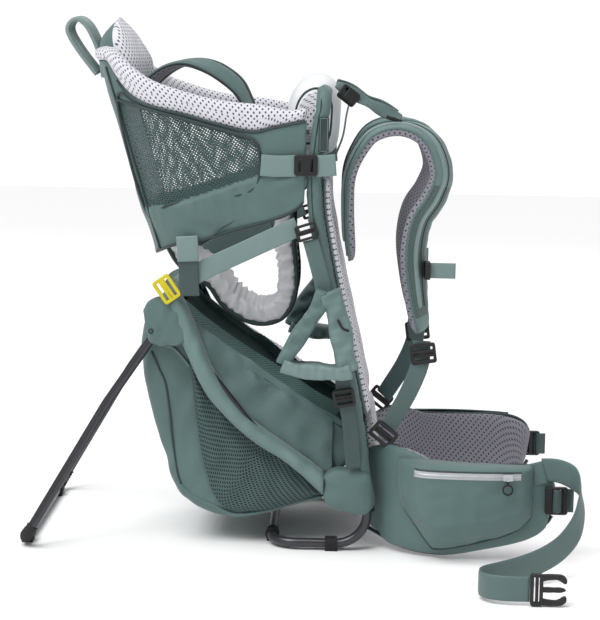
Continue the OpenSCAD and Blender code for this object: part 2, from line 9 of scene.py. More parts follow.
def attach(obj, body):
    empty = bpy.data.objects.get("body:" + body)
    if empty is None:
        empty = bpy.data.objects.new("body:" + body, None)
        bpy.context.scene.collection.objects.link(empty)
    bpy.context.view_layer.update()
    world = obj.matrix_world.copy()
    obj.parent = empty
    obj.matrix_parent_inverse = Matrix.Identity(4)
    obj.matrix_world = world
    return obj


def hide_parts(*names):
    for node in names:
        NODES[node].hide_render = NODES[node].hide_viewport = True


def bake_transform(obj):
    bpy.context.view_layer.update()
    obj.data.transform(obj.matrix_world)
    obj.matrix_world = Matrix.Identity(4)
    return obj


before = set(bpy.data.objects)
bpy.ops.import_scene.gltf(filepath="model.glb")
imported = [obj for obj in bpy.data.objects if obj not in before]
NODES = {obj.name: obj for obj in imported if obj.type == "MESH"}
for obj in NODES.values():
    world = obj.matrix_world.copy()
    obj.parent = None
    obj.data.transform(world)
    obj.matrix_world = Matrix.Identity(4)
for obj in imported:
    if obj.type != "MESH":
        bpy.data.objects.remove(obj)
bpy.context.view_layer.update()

MM = 0.001
scene = bpy.context.scene


# ---------------------------------------------------------------- camera

def make_camera():
    azimuth, elevation, roll = (math.radians(a) for a in (1.2, 7.8, 1.0))
    target, distance = Vector((0.007, 0, 0.2914)), 2.6
    back = Vector((math.sin(azimuth) * math.cos(elevation),
                   -math.cos(azimuth) * math.cos(elevation), math.sin(elevation)))
    right = Vector((math.cos(azimuth), math.sin(azimuth), 0))
    up = right.cross(-back)
    x_axis = right * math.cos(roll) + up * math.sin(roll)
    y_axis = up * math.cos(roll) - right * math.sin(roll)
    camera = bpy.data.objects.new("camera", bpy.data.cameras.new("camera"))
    scene.collection.objects.link(camera)
    turn = Matrix((x_axis, y_axis, back)).transposed()
    camera.matrix_world = Matrix.Translation(target + back * distance) @ turn.to_4x4()
    camera.data.sensor_width = 36
    camera.data.lens = 112.6
    camera.data.clip_end = 50
    scene.camera = camera


make_camera()


# ---------------------------------------------------------------- shapes
# Points are in millimetres until mesh() turns them into metres.

def unit(v):
    v = np.asarray(v, float)
    return v / np.maximum(np.linalg.norm(v, axis=-1, keepdims=True), 1e-9)


def smooth_rows(rows, per=12):
    """Catmull-Rom curve through rows of numbers."""
    rows = np.asarray(rows, float)
    padded = np.vstack([2 * rows[0] - rows[1], rows, 2 * rows[-1] - rows[-2]])
    out = []
    for i in range(len(rows) - 1):
        a, b, c, d = padded[i:i + 4]
        f = np.linspace(0, 1, per, endpoint=False)[:, None]
        out.append(0.5 * (2 * b + (c - a) * f + (2 * a - 5 * b + 4 * c - d) * f * f
                          + (3 * b - a - 3 * c + d) * f ** 3))
    return np.vstack(out + [rows[-1:]])


def even(rows, step, axes=3):
    """The same curve with points about step apart, measured on its first columns."""
    length = np.r_[0, np.cumsum(np.linalg.norm(np.diff(rows[:, :axes], axis=0), axis=1))]
    count = max(2, int(round(length[-1] / step)) + 1)
    at = np.linspace(0, length[-1], count)
    return np.stack([np.interp(at, length, rows[:, k]) for k in range(rows.shape[1])], 1)


def curve(rows, step, axes=3):
    return even(smooth_rows(rows), step, axes)


def side(line, y):
    """Side-view points [x, z] at one y."""
    return [[x, y, z] for x, z in line]


def ring_at(outline, y):
    """A closed side-view outline [x, z] as points at one y."""
    return np.stack([outline[:, 0], np.full(len(outline), y), outline[:, 1]], 1)


def flip(points):
    return np.asarray(points, float) * [1, -1, 1]


def ripple(points, wavelength, seed, count=7):
    """Smooth repeatable noise of about -1 to 1."""
    rng = np.random.default_rng(seed)
    total = 0
    for _ in range(count):
        direction = unit(rng.normal(size=3))
        scale = 2 * math.pi / (wavelength * rng.uniform(0.7, 1.5))
        total = total + np.sin(points @ direction * scale + rng.uniform(0, 6.28))
    return total / math.sqrt(count)


def mesh(name, verts, faces, uvs=None, materials=(), picks=None, flat=False):
    """A mesh object from millimetre points; uvs has one row in metres for each face corner."""
    data = bpy.data.meshes.new(name)
    data.from_pydata((np.asarray(verts, float) * MM).tolist(), [], [list(f) for f in faces])
    if uvs is not None:
        layer = data.uv_layers.new(name="UVMap")
        layer.data.foreach_set("uv", np.asarray(uvs, np.float32).ravel())
    for m in materials:
        data.materials.append(m)
    if picks is not None:
        data.polygons.foreach_set("material_index", np.asarray(picks, np.int32))
    data.polygons.foreach_set("use_smooth", [not flat] * len(data.polygons))
    data.update()
    made = bpy.data.objects.new(name, data)
    scene.collection.objects.link(made)
    return made


def grid(name, points, materials, closed=False, caps=False, pick=None, uv=None):
    """A sheet or tube through points[i][j]; closed joins the last column to the first."""
    points = np.asarray(points, float)
    n, m = points.shape[:2]
    columns = m if closed else m - 1
    i, j = (a.ravel() for a in np.meshgrid(np.arange(n - 1), np.arange(columns), indexing="ij"))
    nxt = (j + 1) % m
    faces = np.stack([i * m + j, i * m + nxt, (i + 1) * m + nxt, (i + 1) * m + j], 1)
    if uv is None:
        along = np.linalg.norm(np.diff(points, axis=0), axis=2).mean(1)
        u = np.r_[0, np.cumsum(along)]
        ring = np.concatenate([points, points[:, :1]], 1) if closed else points
        around = np.linalg.norm(np.diff(ring, axis=1), axis=2)
        v = np.concatenate([np.zeros((n, 1)), np.cumsum(around, 1)], 1)
        uv = np.stack([np.repeat(u[:, None], v.shape[1], 1), v], 2) * MM
    corners = [uv[i, j], uv[i, j + 1], uv[i + 1, j + 1], uv[i + 1, j]]
    corner_uv = np.stack(corners, 1).reshape(-1, 2)
    picks = None if pick is None else [pick(a, b, n, m) for a, b in zip(i, j)]
    faces = faces.tolist()
    if caps:
        for row in (0, n - 1):
            loop = [row * m + k for k in range(m)]
            faces.append(loop if row else loop[::-1])
            flat_uv = points[row][:, [0, 2]] * MM
            corner_uv = np.vstack([corner_uv, flat_uv if row else flat_uv[::-1]])
            if picks is not None:
                picks.append(picks[0] if row == 0 else picks[-2])
    made = mesh(name, points.reshape(-1, 3), faces, corner_uv, materials, picks)
    if closed:
        outward(made)
    return made


def outward(piece):
    work = bmesh.new()
    work.from_mesh(piece.data)
    bmesh.ops.recalc_face_normals(work, faces=work.faces)
    work.to_mesh(piece.data)
    work.free()


def sweep_points(path, wide, section):
    """Rings of a section carried along a path. wide is the direction of the section's width,
    and section(f) gives [across, out] points at the fraction f of the path."""
    path = np.asarray(path, float)
    tangent = unit(np.gradient(path, axis=0))
    wide = np.broadcast_to(np.asarray(wide, float), path.shape)
    wide = unit(wide - (wide * tangent).sum(1, keepdims=True) * tangent)
    out = np.cross(tangent, wide)
    rings = []
    for k, p in enumerate(path):
        s = np.asarray(section(k / (len(path) - 1)))
        rings.append(p + s[:, :1] * wide[k] + s[:, 1:] * out[k])
    return np.array(rings)


def sweep(name, path, wide, section, materials, **more):
    return grid(name, sweep_points(path, wide, section), materials, closed=True, caps=True, **more)


def round_section(r, sides=8):
    a = np.arange(sides) * 2 * math.pi / sides
    ring = np.stack([np.cos(a), np.sin(a)], 1) * r
    return lambda f: ring


def tube(name, path, r, materials, sides=8):
    path = np.asarray(path, float)
    tangent = unit(np.gradient(path, axis=0))
    start = np.array([0, 1, 0]) if abs(tangent[0][1]) < 0.8 else np.array([0, 0, 1.0])
    wide, last = [], start
    for t in tangent:
        last = unit(last - (last @ t) * t)
        wide.append(last)
    return sweep(name, path, np.array(wide), round_section(r, sides), materials)


def strap_section(width, thick, edge=1.2):
    """Flat webbing with rounded edges."""
    w, t = width / 2, thick / 2
    ring = [[-w, 0], [-w + edge * 0.4, -t * 0.8], [-w + edge, -t], [-w / 2, -t], [0, -t],
            [w / 2, -t], [w - edge, -t], [w - edge * 0.4, -t * 0.8], [w, 0],
            [w - edge * 0.4, t * 0.8], [w - edge, t], [w / 2, t], [0, t], [-w / 2, t],
            [-w + edge, t], [-w + edge * 0.4, t * 0.8]]
    return lambda f: np.array(ring)


def pad_section(width, thick, steps=14, power=4.0, rim=0.28, top=None, under=None, ends=0.0,
                end_rim=0.35):
    """Padding with a soft crown and a thinner sewn edge; top(x) and under(x) change its faces."""
    x = -np.cos(np.linspace(0, math.pi, steps + 1))

    def ring(f):
        shrink = 1.0
        if ends:
            d = min(f, 1 - f) / ends
            if d < 1:
                shrink = end_rim + (1 - end_rim) * math.sqrt(max(0.0, 1 - (1 - d) ** 2))
        w = (width(f) if callable(width) else width) / 2
        t = (thick(f) if callable(thick) else thick) / 2
        crown = (rim + (1 - rim) * np.sqrt(np.maximum(0, 1 - np.abs(x) ** power)))
        high = t * crown * shrink + (top(x, f) if top else 0)
        low = -t * crown * shrink + (under(x, f) if under else 0)
        w = w * (0.75 + 0.25 * shrink)
        upper = np.stack([x * w, high], 1)
        lower = np.stack([x[::-1] * w, low[::-1]], 1)
        return np.vstack([upper, lower])
    return ring


def subdivide(piece, levels=1):
    s = piece.modifiers.new("Subdivision", "SUBSURF")
    s.levels = s.render_levels = levels
    return piece


def thicken(piece, thickness, offset=-1):
    s = piece.modifiers.new("Solidify", "SOLIDIFY")
    s.thickness = thickness * MM
    s.offset = offset
    return piece


def settled(piece):
    """Applies the modifiers."""
    bpy.context.view_layer.update()
    evaluated = piece.evaluated_get(bpy.context.evaluated_depsgraph_get())
    data = bpy.data.meshes.new_from_object(evaluated)
    piece.modifiers.clear()
    piece.data = data
    return piece


def join(name, pieces):
    """One piece from several, with their materials."""
    for p in pieces:
        settled(p)
    bpy.ops.object.select_all(action="DESELECT")
    for p in pieces:
        p.select_set(True)
    bpy.context.view_layer.objects.active = pieces[0]
    bpy.ops.object.join()
    pieces[0].name = name
    return pieces[0]


def mirrored(piece, name):
    """The same piece on the other side."""
    data = piece.data.copy()
    data.transform(Matrix.Scale(-1, 4, Vector((0, 1, 0))))
    data.flip_normals()
    other = bpy.data.objects.new(name, data)
    scene.collection.objects.link(other)
    return other


def box_uv(piece):
    """Texture coordinates in metres, seen along each face's main direction."""
    data = piece.data
    layer = data.uv_layers.new(name="UVMap")
    spots = np.empty(len(data.vertices) * 3)
    data.vertices.foreach_get("co", spots)
    spots = spots.reshape(-1, 3)
    for face in data.polygons:
        axis = int(np.argmax(np.abs(face.normal)))
        keep = [k for k in range(3) if k != axis]
        for corner, vertex in zip(face.loop_indices, face.vertices):
            layer.data[corner].uv = spots[vertex][keep]
    return piece


def plate(name, loops, thick, material, origin, x_axis, y_axis, edge=0.8):
    """A moulded plate: the first loop is its outline, the others are holes."""
    data = bpy.data.curves.new(name, "CURVE")
    data.dimensions = "2D"
    data.fill_mode = "BOTH"
    data.extrude = (thick / 2 - edge) * MM
    data.bevel_depth = edge * MM
    data.bevel_resolution = 2
    for number, loop in enumerate(loops):
        loop = np.asarray(loop, float)
        spline = data.splines.new("POLY")
        spline.points.add(len(loop) - 1)
        centre = loop.mean(0)
        grow = -edge if number == 0 else edge
        moved = loop + unit(loop - centre) * grow
        spline.points.foreach_set("co", np.c_[moved * MM, np.zeros(len(loop)),
                                              np.ones(len(loop))].ravel())
        spline.use_cyclic_u = True
    carrier = bpy.data.objects.new(name + "_c", data)
    scene.collection.objects.link(carrier)
    bpy.context.view_layer.update()
    made = bpy.data.meshes.new_from_object(
        carrier.evaluated_get(bpy.context.evaluated_depsgraph_get()))
    bpy.data.objects.remove(carrier)
    x_axis, y_axis = Vector(unit(x_axis)), Vector(unit(y_axis))
    turn = Matrix((x_axis, y_axis, x_axis.cross(y_axis))).transposed().to_4x4()
    made.transform(Matrix.Translation(Vector(np.asarray(origin, float) * MM)) @ turn)
    made.materials.clear()
    made.materials.append(material)
    made.polygons.foreach_set("use_smooth", [True] * len(made.polygons))
    piece = bpy.data.objects.new(name, made)
    scene.collection.objects.link(piece)
    piece.modifiers.new("Normals", "WEIGHTED_NORMAL")
    return settled(piece)


def box_loop(x0, y0, x1, y1, r=2.0, n=4):
    """Rectangle with round corners."""
    r = min(r, (x1 - x0) / 2 - 0.01, (y1 - y0) / 2 - 0.01)
    out = []
    for cx, cy, start in ((x1 - r, y1 - r, 0), (x0 + r, y1 - r, 90), (x0 + r, y0 + r, 180),
                          (x1 - r, y0 + r, 270)):
        for k in range(n + 1):
            a = math.radians(start + 90 * k / n)
            out.append([cx + r * math.cos(a), cy + r * math.sin(a)])
    return out


def put(piece, body, replaces=()):
    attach(piece, body)
    if replaces:
        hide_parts(*replaces)
    return piece


# ---------------------------------------------------------------- materials

class Finish:
    """A material and short ways to add its nodes."""

    def __init__(self, name, roughness=0.6, **sockets):
        self.m = bpy.data.materials.new(name)
        self.m.use_nodes = True
        self.tree = self.m.node_tree
        self.shader = self.tree.nodes["Principled BSDF"]
        self.shader.inputs["Roughness"].default_value = roughness
        for key, value in sockets.items():
            self.shader.inputs[key.replace("_", " ")].default_value = value
        self.coords = self.tree.nodes.new("ShaderNodeTexCoord")
        self.uv = self.coords.outputs["UV"]
        self.place = self.coords.outputs["Object"]

    def node(self, kind, *inputs, **attributes):
        n = self.tree.nodes.new("ShaderNode" + kind)
        for key, value in attributes.items():
            if key in n.inputs:
                n.inputs[key].default_value = value
            else:
                setattr(n, key, value)
        for k, value in enumerate(inputs):
            if value is None:
                continue
            if isinstance(value, bpy.types.NodeSocket):
                self.tree.links.new(value, n.inputs[k])
            else:
                n.inputs[k].default_value = value
        return n

    def math(self, operation, *inputs, clamp=False):
        return self.node("Math", *inputs, operation=operation, use_clamp=clamp).outputs[0]

    def noise(self, scale, detail=2.0, vector=None):
        n = self.node("TexNoise", vector or self.place)
        n.inputs["Scale"].default_value = scale
        n.inputs["Detail"].default_value = detail
        return n.outputs["Fac"]

    def split(self):
        n = self.node("SeparateXYZ", self.uv)
        return n.outputs[0], n.outputs[1]

    def mix(self, factor, a, b):
        n = self.tree.nodes.new("ShaderNodeMix")
        n.data_type = "RGBA"
        for socket, value in zip((n.inputs["Factor"], n.inputs[6], n.inputs[7]), (factor, a, b)):
            if isinstance(value, bpy.types.NodeSocket):
                self.tree.links.new(value, socket)
            else:
                socket.default_value = value
        return n.outputs[2]

    def spread(self, value, low, high):
        """Maps 0..1 to low..high."""
        return self.math("MULTIPLY_ADD", value, high - low, low)

    def shade(self, base, *amounts):
        """A colour made lighter or darker by values around 1."""
        factor = amounts[0]
        for a in amounts[1:]:
            factor = self.math("MULTIPLY", factor, a)
        n = self.node("VectorMath", operation="SCALE")
        if isinstance(base, bpy.types.NodeSocket):
            self.tree.links.new(base, n.inputs[0])
        else:
            n.inputs[0].default_value = base[:3]
        self.tree.links.new(factor, n.inputs["Scale"])
        return n.outputs[0]

    def colour(self, value):
        self.tree.links.new(value, self.shader.inputs["Base Color"])

    def bump(self, height, distance, strength=1.0, after=None):
        n = self.node("Bump")
        n.inputs["Strength"].default_value = strength
        n.inputs["Distance"].default_value = distance * MM
        self.tree.links.new(height, n.inputs["Height"])
        if after:
            self.tree.links.new(after, n.inputs["Normal"])
        return n.outputs[0]

    def normal(self, value):
        self.tree.links.new(value, self.shader.inputs["Normal"])

    def holes(self, pitch_u, pitch_v, hole_u, hole_v, soft=0.25):
        """1 inside the oval holes of a staggered mesh, sizes in millimetres."""
        u, v = self.split()
        row = self.math("DIVIDE", v, pitch_v * MM)
        odd = self.math("MODULO", self.math("FLOOR", row), 2.0)
        column = self.math("ADD", self.math("DIVIDE", u, pitch_u * MM),
                           self.math("MULTIPLY", odd, 0.5))
        fu = self.math("SUBTRACT", self.math("FRACT", column), 0.5)
        fv = self.math("SUBTRACT", self.math("FRACT", row), 0.5)
        du = self.math("MULTIPLY", fu, 2 * pitch_u / hole_u)
        dv = self.math("MULTIPLY", fv, 2 * pitch_v / hole_v)
        far = self.math("ADD", self.math("MULTIPLY", du, du), self.math("MULTIPLY", dv, dv))
        n = self.node("MapRange", far, 1 + soft, 1 - soft, 0.0, 1.0)
        n.interpolation_type = "SMOOTHSTEP"
        return n.outputs[0]

    def wave(self, value, pitch):
        """Rounded ribs with the given pitch in millimetres, from 0 to 1."""
        angle = self.math("MULTIPLY", value, 2 * math.pi / (pitch * MM))
        return self.math("MULTIPLY_ADD", self.math("SINE", angle), 0.5, 0.5)


def rgb(r, g, b):
    """Linear colour from the usual 0..255 numbers."""
    return tuple(((c / 255) / 12.92 if c <= 10 else ((c / 255 + 0.055) / 1.055) ** 2.4)
                 for c in (r, g, b)) + (1.0,)


def fabric(name, base, weave=0.9, crease=0.35, rough=0.62, sheen=0.15):
    """Woven cloth with soft creases."""
    f = Finish(name, rough)
    f.shader.inputs["Sheen Weight"].default_value = sheen
    f.shader.inputs["Sheen Roughness"].default_value = 0.4
    u, v = f.split()
    large = f.spread(f.noise(14, 3), 0.86, 1.14)
    fine = f.spread(f.noise(700, 2), 0.9, 1.1)
    over = f.wave(u, weave)
    under = f.wave(v, weave)
    threads = f.math("MULTIPLY", over, under)
    f.colour(f.shade(base, large, fine, f.spread(threads, 0.93, 1.07)))
    stretched = f.node("Mapping", f.place, Scale=(1.0, 1.0, 0.45), Rotation=(0, 0.5, 0)).outputs[0]
    drape = f.bump(f.noise(26, 2, stretched), 7.0, crease)
    soft = f.bump(f.noise(75, 3), 1.6, crease, drape)
    f.normal(f.bump(threads, 0.12, 0.5, soft))
    return f.m


def spacer(name, base, hole_shade, pitch=(7.4, 4.4), size=(2.3, 3.0), sheen=0.2):
    """Thick knitted mesh: light yarn with oval dimples whose dark colour is painted shade."""
    f = Finish(name, 0.75)
    f.shader.inputs["Sheen Weight"].default_value = sheen
    f.shader.inputs["Sheen Roughness"].default_value = 0.5
    mask = f.holes(pitch[0], pitch[1], size[0], size[1])
    u, v = f.split()
    yarn = f.math("MULTIPLY", f.wave(f.math("ADD", u, v), 0.9),
                  f.wave(f.math("SUBTRACT", u, v), 0.9))
    large = f.spread(f.noise(16, 2), 0.93, 1.05)
    yarn_colour = f.shade(base, large, f.spread(yarn, 0.9, 1.06))
    # The dimples get the dark colour: painted shade in them.
    f.colour(f.mix(mask, yarn_colour, hole_shade))
    height = f.math("SUBTRACT", f.math("MULTIPLY", yarn, 0.12), mask)
    f.normal(f.bump(height, 0.9, 0.7))
    return f.m


def net(name, thread, pitch, open_part):
    """Thin net whose oval holes are see-through."""
    f = Finish(name, 0.6)
    mask = f.holes(pitch, pitch * 0.55, open_part, open_part * 0.62, 0.3)
    f.colour(f.shade(thread, f.spread(f.noise(20, 2), 0.85, 1.15)))
    f.tree.links.new(f.math("SUBTRACT", 1.0, mask), f.shader.inputs["Alpha"])
    f.normal(f.bump(f.math("SUBTRACT", 1.0, mask), 0.4, 0.4))
    return f.m


def webbing(name, base, rib=1.7, slant=0.35):
    """Woven webbing: u runs along it and v across."""
    f = Finish(name, 0.55)
    f.shader.inputs["Sheen Weight"].default_value = 0.12
    u, v = f.split()
    ribs = f.wave(f.math("ADD", u, f.math("MULTIPLY", v, slant)), rib)
    rows = f.wave(v, 1.1)
    weave = f.math("MULTIPLY", ribs, f.spread(rows, 0.6, 1.0))
    worn = f.spread(f.noise(30, 3), 0.92, 1.08)
    f.colour(f.shade(base, worn, f.spread(weave, 0.84, 1.08)))
    f.normal(f.bump(weave, 0.25, 0.6))
    return f.m


def plastic(name, base, rough=0.38, grain=0.12):
    f = Finish(name, rough)
    f.shader.inputs["Specular IOR Level"].default_value = 0.5
    speck = f.noise(900, 2)
    f.colour(f.shade(base, f.spread(f.noise(40, 2), 0.85, 1.15)))
    f.tree.links.new(f.spread(f.noise(60, 3), rough - 0.08, rough + 0.12),
                     f.shader.inputs["Roughness"])
    f.normal(f.bump(speck, grain, 0.5))
    return f.m


def metal(name, base, rough, metallic=0.85):
    f = Finish(name, rough, Metallic=metallic)
    f.colour(f.shade(base, f.spread(f.noise(35, 3), 0.88, 1.12)))
    f.tree.links.new(f.spread(f.noise(120, 4), rough - 0.06, rough + 0.1),
                     f.shader.inputs["Roughness"])
    f.normal(f.bump(f.noise(500, 2), 0.03, 0.5))
    return f.m


GREEN = fabric("green_cloth", rgb(86, 111, 109), crease=0.5)
# A lighter copy of the green cloth: painted light, for the tops of the shoulder pads, the side
# bands, one stirrup arm and the flap edges.
GREEN_PAINTED_LIT = fabric("green_cloth_painted_lit", rgb(102, 127, 125), crease=0.5)
GREEN_DARK = fabric("green_cloth_dark", rgb(50, 68, 68))
BINDING = webbing("binding_tape", rgb(38, 56, 57), rib=1.3, slant=0.0)
SATIN = fabric("satin_lining", rgb(238, 238, 242), weave=0.7, crease=0.9, rough=0.42, sheen=0.3)
PALE = fabric("chin_fabric", rgb(232, 235, 238), weave=0.8, crease=0.25, rough=0.7, sheen=0.3)
MESH = spacer("spacer_mesh", rgb(222, 222, 230), rgb(70, 66, 80))
# A darker copy of the lilac spacer mesh: painted shade, for the mesh sides of the shoulder pads,
# child pads and hip fins.
MESH_PAINTED_SHADE = spacer("spacer_mesh_painted_shade", rgb(138, 137, 148), rgb(46, 44, 54))
NET = net("window_net", rgb(56, 80, 79), pitch=4.6, open_part=2.7)
NET_FINE = net("gusset_net", rgb(98, 128, 124), pitch=4.8, open_part=2.9)
NET_DARK = spacer("pocket_net", rgb(74, 97, 96), rgb(10, 22, 23), pitch=(5.2, 3.2), size=(3.3, 2.1),
                  sheen=0.02)
COVER_NET = spacer("cover_net", rgb(44, 84, 80), rgb(6, 30, 28), pitch=(5.2, 3.2),
                   size=(3.2, 2.0), sheen=0.0)
WEB = webbing("webbing_green", rgb(84, 107, 106))
WEB_DARK = webbing("webbing_dark", rgb(60, 78, 78))
WEB_LIGHT = webbing("webbing_light", rgb(116, 139, 137), rib=2.0, slant=0.5)
BLACK = plastic("buckle_black", rgb(20, 20, 21), rough=0.45)
YELLOW = plastic("buckle_yellow", rgb(205, 190, 16), rough=0.32)
RUBBER = plastic("foot_rubber", rgb(24, 24, 25), rough=0.7, grain=0.25)
TUBE = metal("frame_tube", rgb(72, 72, 76), 0.3, 0.7)
PIN = metal("pin_steel", rgb(120, 120, 124), 0.3, 1.0)


# ---------------------------------------------------------------- the free hip webbing

HIP_WEB = 30.0
hip_route = np.array([
    [318, -178.8, 119], [338, -182, 119], [355, -191, 113], [365, -207, 98], [363, -226, 76],
    [354, -246, 58], [336, -266, 42], [312, -284, 31], [284, -300, 24], [258, -314, 20.5],
    [238, -330, 20], [231, -348, 20], [238, -365, 20], [255, -374, 20], [272, -376, 20],
    [288, -376, 20]], float)
hip_up = np.array([
    [0, 0, 1], [0, 0, 1], [-0.05, 0, 1], [-0.2, -0.3, 1], [-0.3, -0.2, 1], [-0.25, 0, 1],
    [-0.1, 0.1, 1], [0, 0.15, 1], [0, 0.12, 1], [0, 0.1, 1]] + [[0, 0, 1]] * 6, float)
hip_rows = curve(np.hstack([hip_route, hip_up]), 3.0)
hip_path = hip_rows[:, :3]


def hip_webbing_section(f):
    w = HIP_WEB / 2
    x = np.linspace(-1, 1, 15)
    ridge = 1.0 - 0.35 * np.exp(-((np.abs(x) - 0.86) / 0.05) ** 2)
    ridge[[0, -1]] = 0.25
    upper = np.stack([x * w, ridge], 1)
    return np.vstack([upper, (upper * [1, -1])[::-1]])


hip_strap = sweep("hip_strap_webbing", hip_path, hip_rows[:, 3:], hip_webbing_section, [WEB])
buckle_at = np.array([288, -376, 20.0])


def buckle_loops():
    frame_loop = box_loop(1, -19, 15, 19, 3)
    slots = [box_loop(4, -15.3, 7.4, 15.3, 1.2), box_loop(9.4, -15.3, 12.4, 15.3, 1.2)]
    return [frame_loop] + slots


def make_hip_buckle():
    origin = buckle_at
    parts = [plate("b1", buckle_loops(), 8, BLACK, origin, [1, 0, 0], [0, 0, 1])]
    middle = smooth_rows([[13, -2.2], [24, -2.6], [36, -2.4], [42, 0], [36, 2.4], [24, 2.6],
                          [13, 2.2]], 3)
    parts.append(plate("b2", [middle], 5, BLACK, origin, [1, 0, 0], [0, 0, 1], 0.7))
    for s in (-1, 1):
        prong = smooth_rows([[12, 11], [21, 13.4], [33, 13.6], [41, 8.6], [43.2, 10.5],
                             [42, 15.5], [36, 19.3], [24, 19.6], [12, 18.5]], 3)
        prong = prong * [1, 0.94 * s]
        parts.append(plate("b3", [prong[::s]], 6, BLACK, origin, [1, 0, 0], [0, 0, 1], 0.8))
    bar = sweep("b4", [origin + [8.4, 0, z] for z in (-16, 0, 16)], [0, 1, 0],
                round_section(1.5), [BLACK])
    return join("hip_buckle_male", parts + [bar])


hip_buckle = make_hip_buckle()
put(hip_strap, "fin_right", ["hip_strap"])
put(hip_buckle, "fin_right", ["hip_strap_buckle"])

# ---------------------------------------------------------------- frame and kickstand

def finish_node(name, material):
    node = NODES[name]
    node.data.materials.clear()
    node.data.materials.append(material)


for name in ("back_frame", "base_loop", "seat_frame", "kickstand_tube", "cockpit_stay"):
    finish_node(name, TUBE)
for name in ("frame_couplers", "kickstand_brackets", "child_buckle"):
    finish_node(name, BLACK)
finish_node("kickstand_pins", PIN)
for name in ("base_feet", "kickstand_feet"):
    finish_node(name, RUBBER)


def arc_points(a, corner, b, radius, steps=8):
    """A line a-corner-b with a round corner."""
    a, corner, b = (np.asarray(p, float) for p in (a, corner, b))
    into, out = unit(a - corner), unit(b - corner)
    cut = radius / math.tan(math.acos(np.clip(into @ out, -1, 1)) / 2)
    points = [a]
    for f in np.linspace(0, 1, steps):
        p, q = corner + into * cut * (1 - f), corner + out * cut * f
        points.append(p + (q - p) * f)
    return np.array(points + [b])


def kickstand_boot(s):
    """Ribbed rubber over the kickstand's lower corner."""
    foot = np.array([-338, -170 * s, 9])
    line = arc_points(foot + unit(np.array([102, 33 * s, 176])) * 44, foot,
                      foot + [0, 30 * s, 0], 26, 12)
    line = even(line, 1.1)
    line = line[np.linalg.norm(line - foot, axis=1) < 24]

    def ring(f):
        a = np.arange(20) * math.pi / 10
        rib = 0.7 if int(f * len(line)) % 4 < 2 else 0.0
        return np.stack([np.cos(a), np.sin(a)], 1) * (6.9 + rib)
    return sweep("boot", line, [1, 0, 0.2], ring, [RUBBER])


put(join("kickstand_rubber_boots", [kickstand_boot(1), kickstand_boot(-1)]), "kickstand")


def base_ribs(s):
    """Ribs of the rubber clips on the base loop."""
    parts = []
    for x in (49, 52, 55, 58, 61):
        a = np.linspace(-0.35 * math.pi, 1.35 * math.pi, 22)
        line = np.stack([np.full(22, x), -142 * s + 9.1 * np.cos(a), 9 + 9.1 * np.sin(a)], 1)
        parts.append(tube("rib", line, 0.7, [RUBBER], 6))
    return parts


put(join("base_clip_ribs", base_ribs(1) + base_ribs(-1)), "pack")

# ---------------------------------------------------------------- cockpit

LEAN = math.radians(17)
WALL_X, WALL_Z = -181, 374
RIM = np.array([[-238, 619], [-218, 586], [-191, 568], [-141, 556], [-103, 546], [-55, 536],
                [-26, 542], [15, 551]], float)
RIM_TOP = np.array([[-246, 632], [-238, 631], [-218, 614], [-189, 598], [-161, 589], [-123, 578],
                    [-84, 571], [-47, 568], [-8, 562], [14, 559]], float)
LOWER = np.array([[-181, 374], [-151, 389], [-111, 398], [-73, 411], [-24, 425], [0, 436],
                  [12, 447]], float)
SIDE_HALF, CORNER = 149.0, 77.0


def soft_line(points):
    rows = smooth_rows(points, 8)
    return lambda x: np.interp(x, rows[:, 0], rows[:, 1])


rim_z, rim_top_z, lower_z = soft_line(RIM), soft_line(RIM_TOP), soft_line(LOWER)


def leaned(px, height_of):
    """World x and z on the leaning wall where the side view reaches height_of(x)."""
    pz = 100.0
    for _ in range(30):
        x = WALL_X + math.cos(LEAN) * px - math.sin(LEAN) * pz
        pz = (float(height_of(x)) - WALL_Z - math.sin(LEAN) * px) / math.cos(LEAN)
    x = WALL_X + math.cos(LEAN) * px - math.sin(LEAN) * pz
    return x, float(height_of(x))


def wall_columns(step, low=lower_z, high=rim_z):
    """Columns round the cockpit from the right front to the left front:
    lower point, upper point and outward direction of each."""
    start = leaned(CORNER, low), leaned(CORNER, high)
    columns = []
    front = ((13.0, float(low(13))), (14.5, float(high(14.5))))
    count = int((front[0][0] - start[0][0]) / step)
    for k in range(count):
        f = k / count
        xb = front[0][0] + (start[0][0] - front[0][0]) * f
        xt = front[1][0] + (start[1][0] - front[1][0]) * f
        bottom, top = [xb, -SIDE_HALF, float(low(xb))], [xt, -SIDE_HALF, float(high(xt))]
        columns.append((bottom, top, [0, -1, 0]))
    for a in np.linspace(0, math.pi / 2, int(CORNER * 1.57 / step) + 1):
        px = CORNER * (1 - math.sin(a))
        y = -(SIDE_HALF - CORNER) - CORNER * math.cos(a)
        (xb, zb), (xt, zt) = leaned(px, low), leaned(px, high)
        out = [-math.sin(a) * math.cos(LEAN), -math.cos(a), -math.sin(a) * math.sin(LEAN)]
        columns.append(([xb, y, zb], [xt, y, zt], out))
    mid = int((SIDE_HALF - CORNER) / step)
    last = columns[-1]
    for k in range(1, mid + 1):
        y = -(SIDE_HALF - CORNER) * (1 - k / mid)
        columns.append(([last[0][0], y, last[0][2]], [last[1][0], y, last[1][2]], last[2]))
    mirrored = [([b[0], -b[1], b[2]], [t[0], -t[1], t[2]], [o[0], -o[1], o[2]])
                for b, t, o in columns[-2::-1]]
    return np.array(columns + mirrored)


WINDOW = np.array([[-226, 571], [-190, 562], [-151, 552], [-100, 539], [-60, 528], [-50, 523],
                   [-45, 514], [-43, 490], [-45, 474], [-51, 464], [-62, 458], [-83, 453],
                   [-156, 442], [-190, 430]], float)


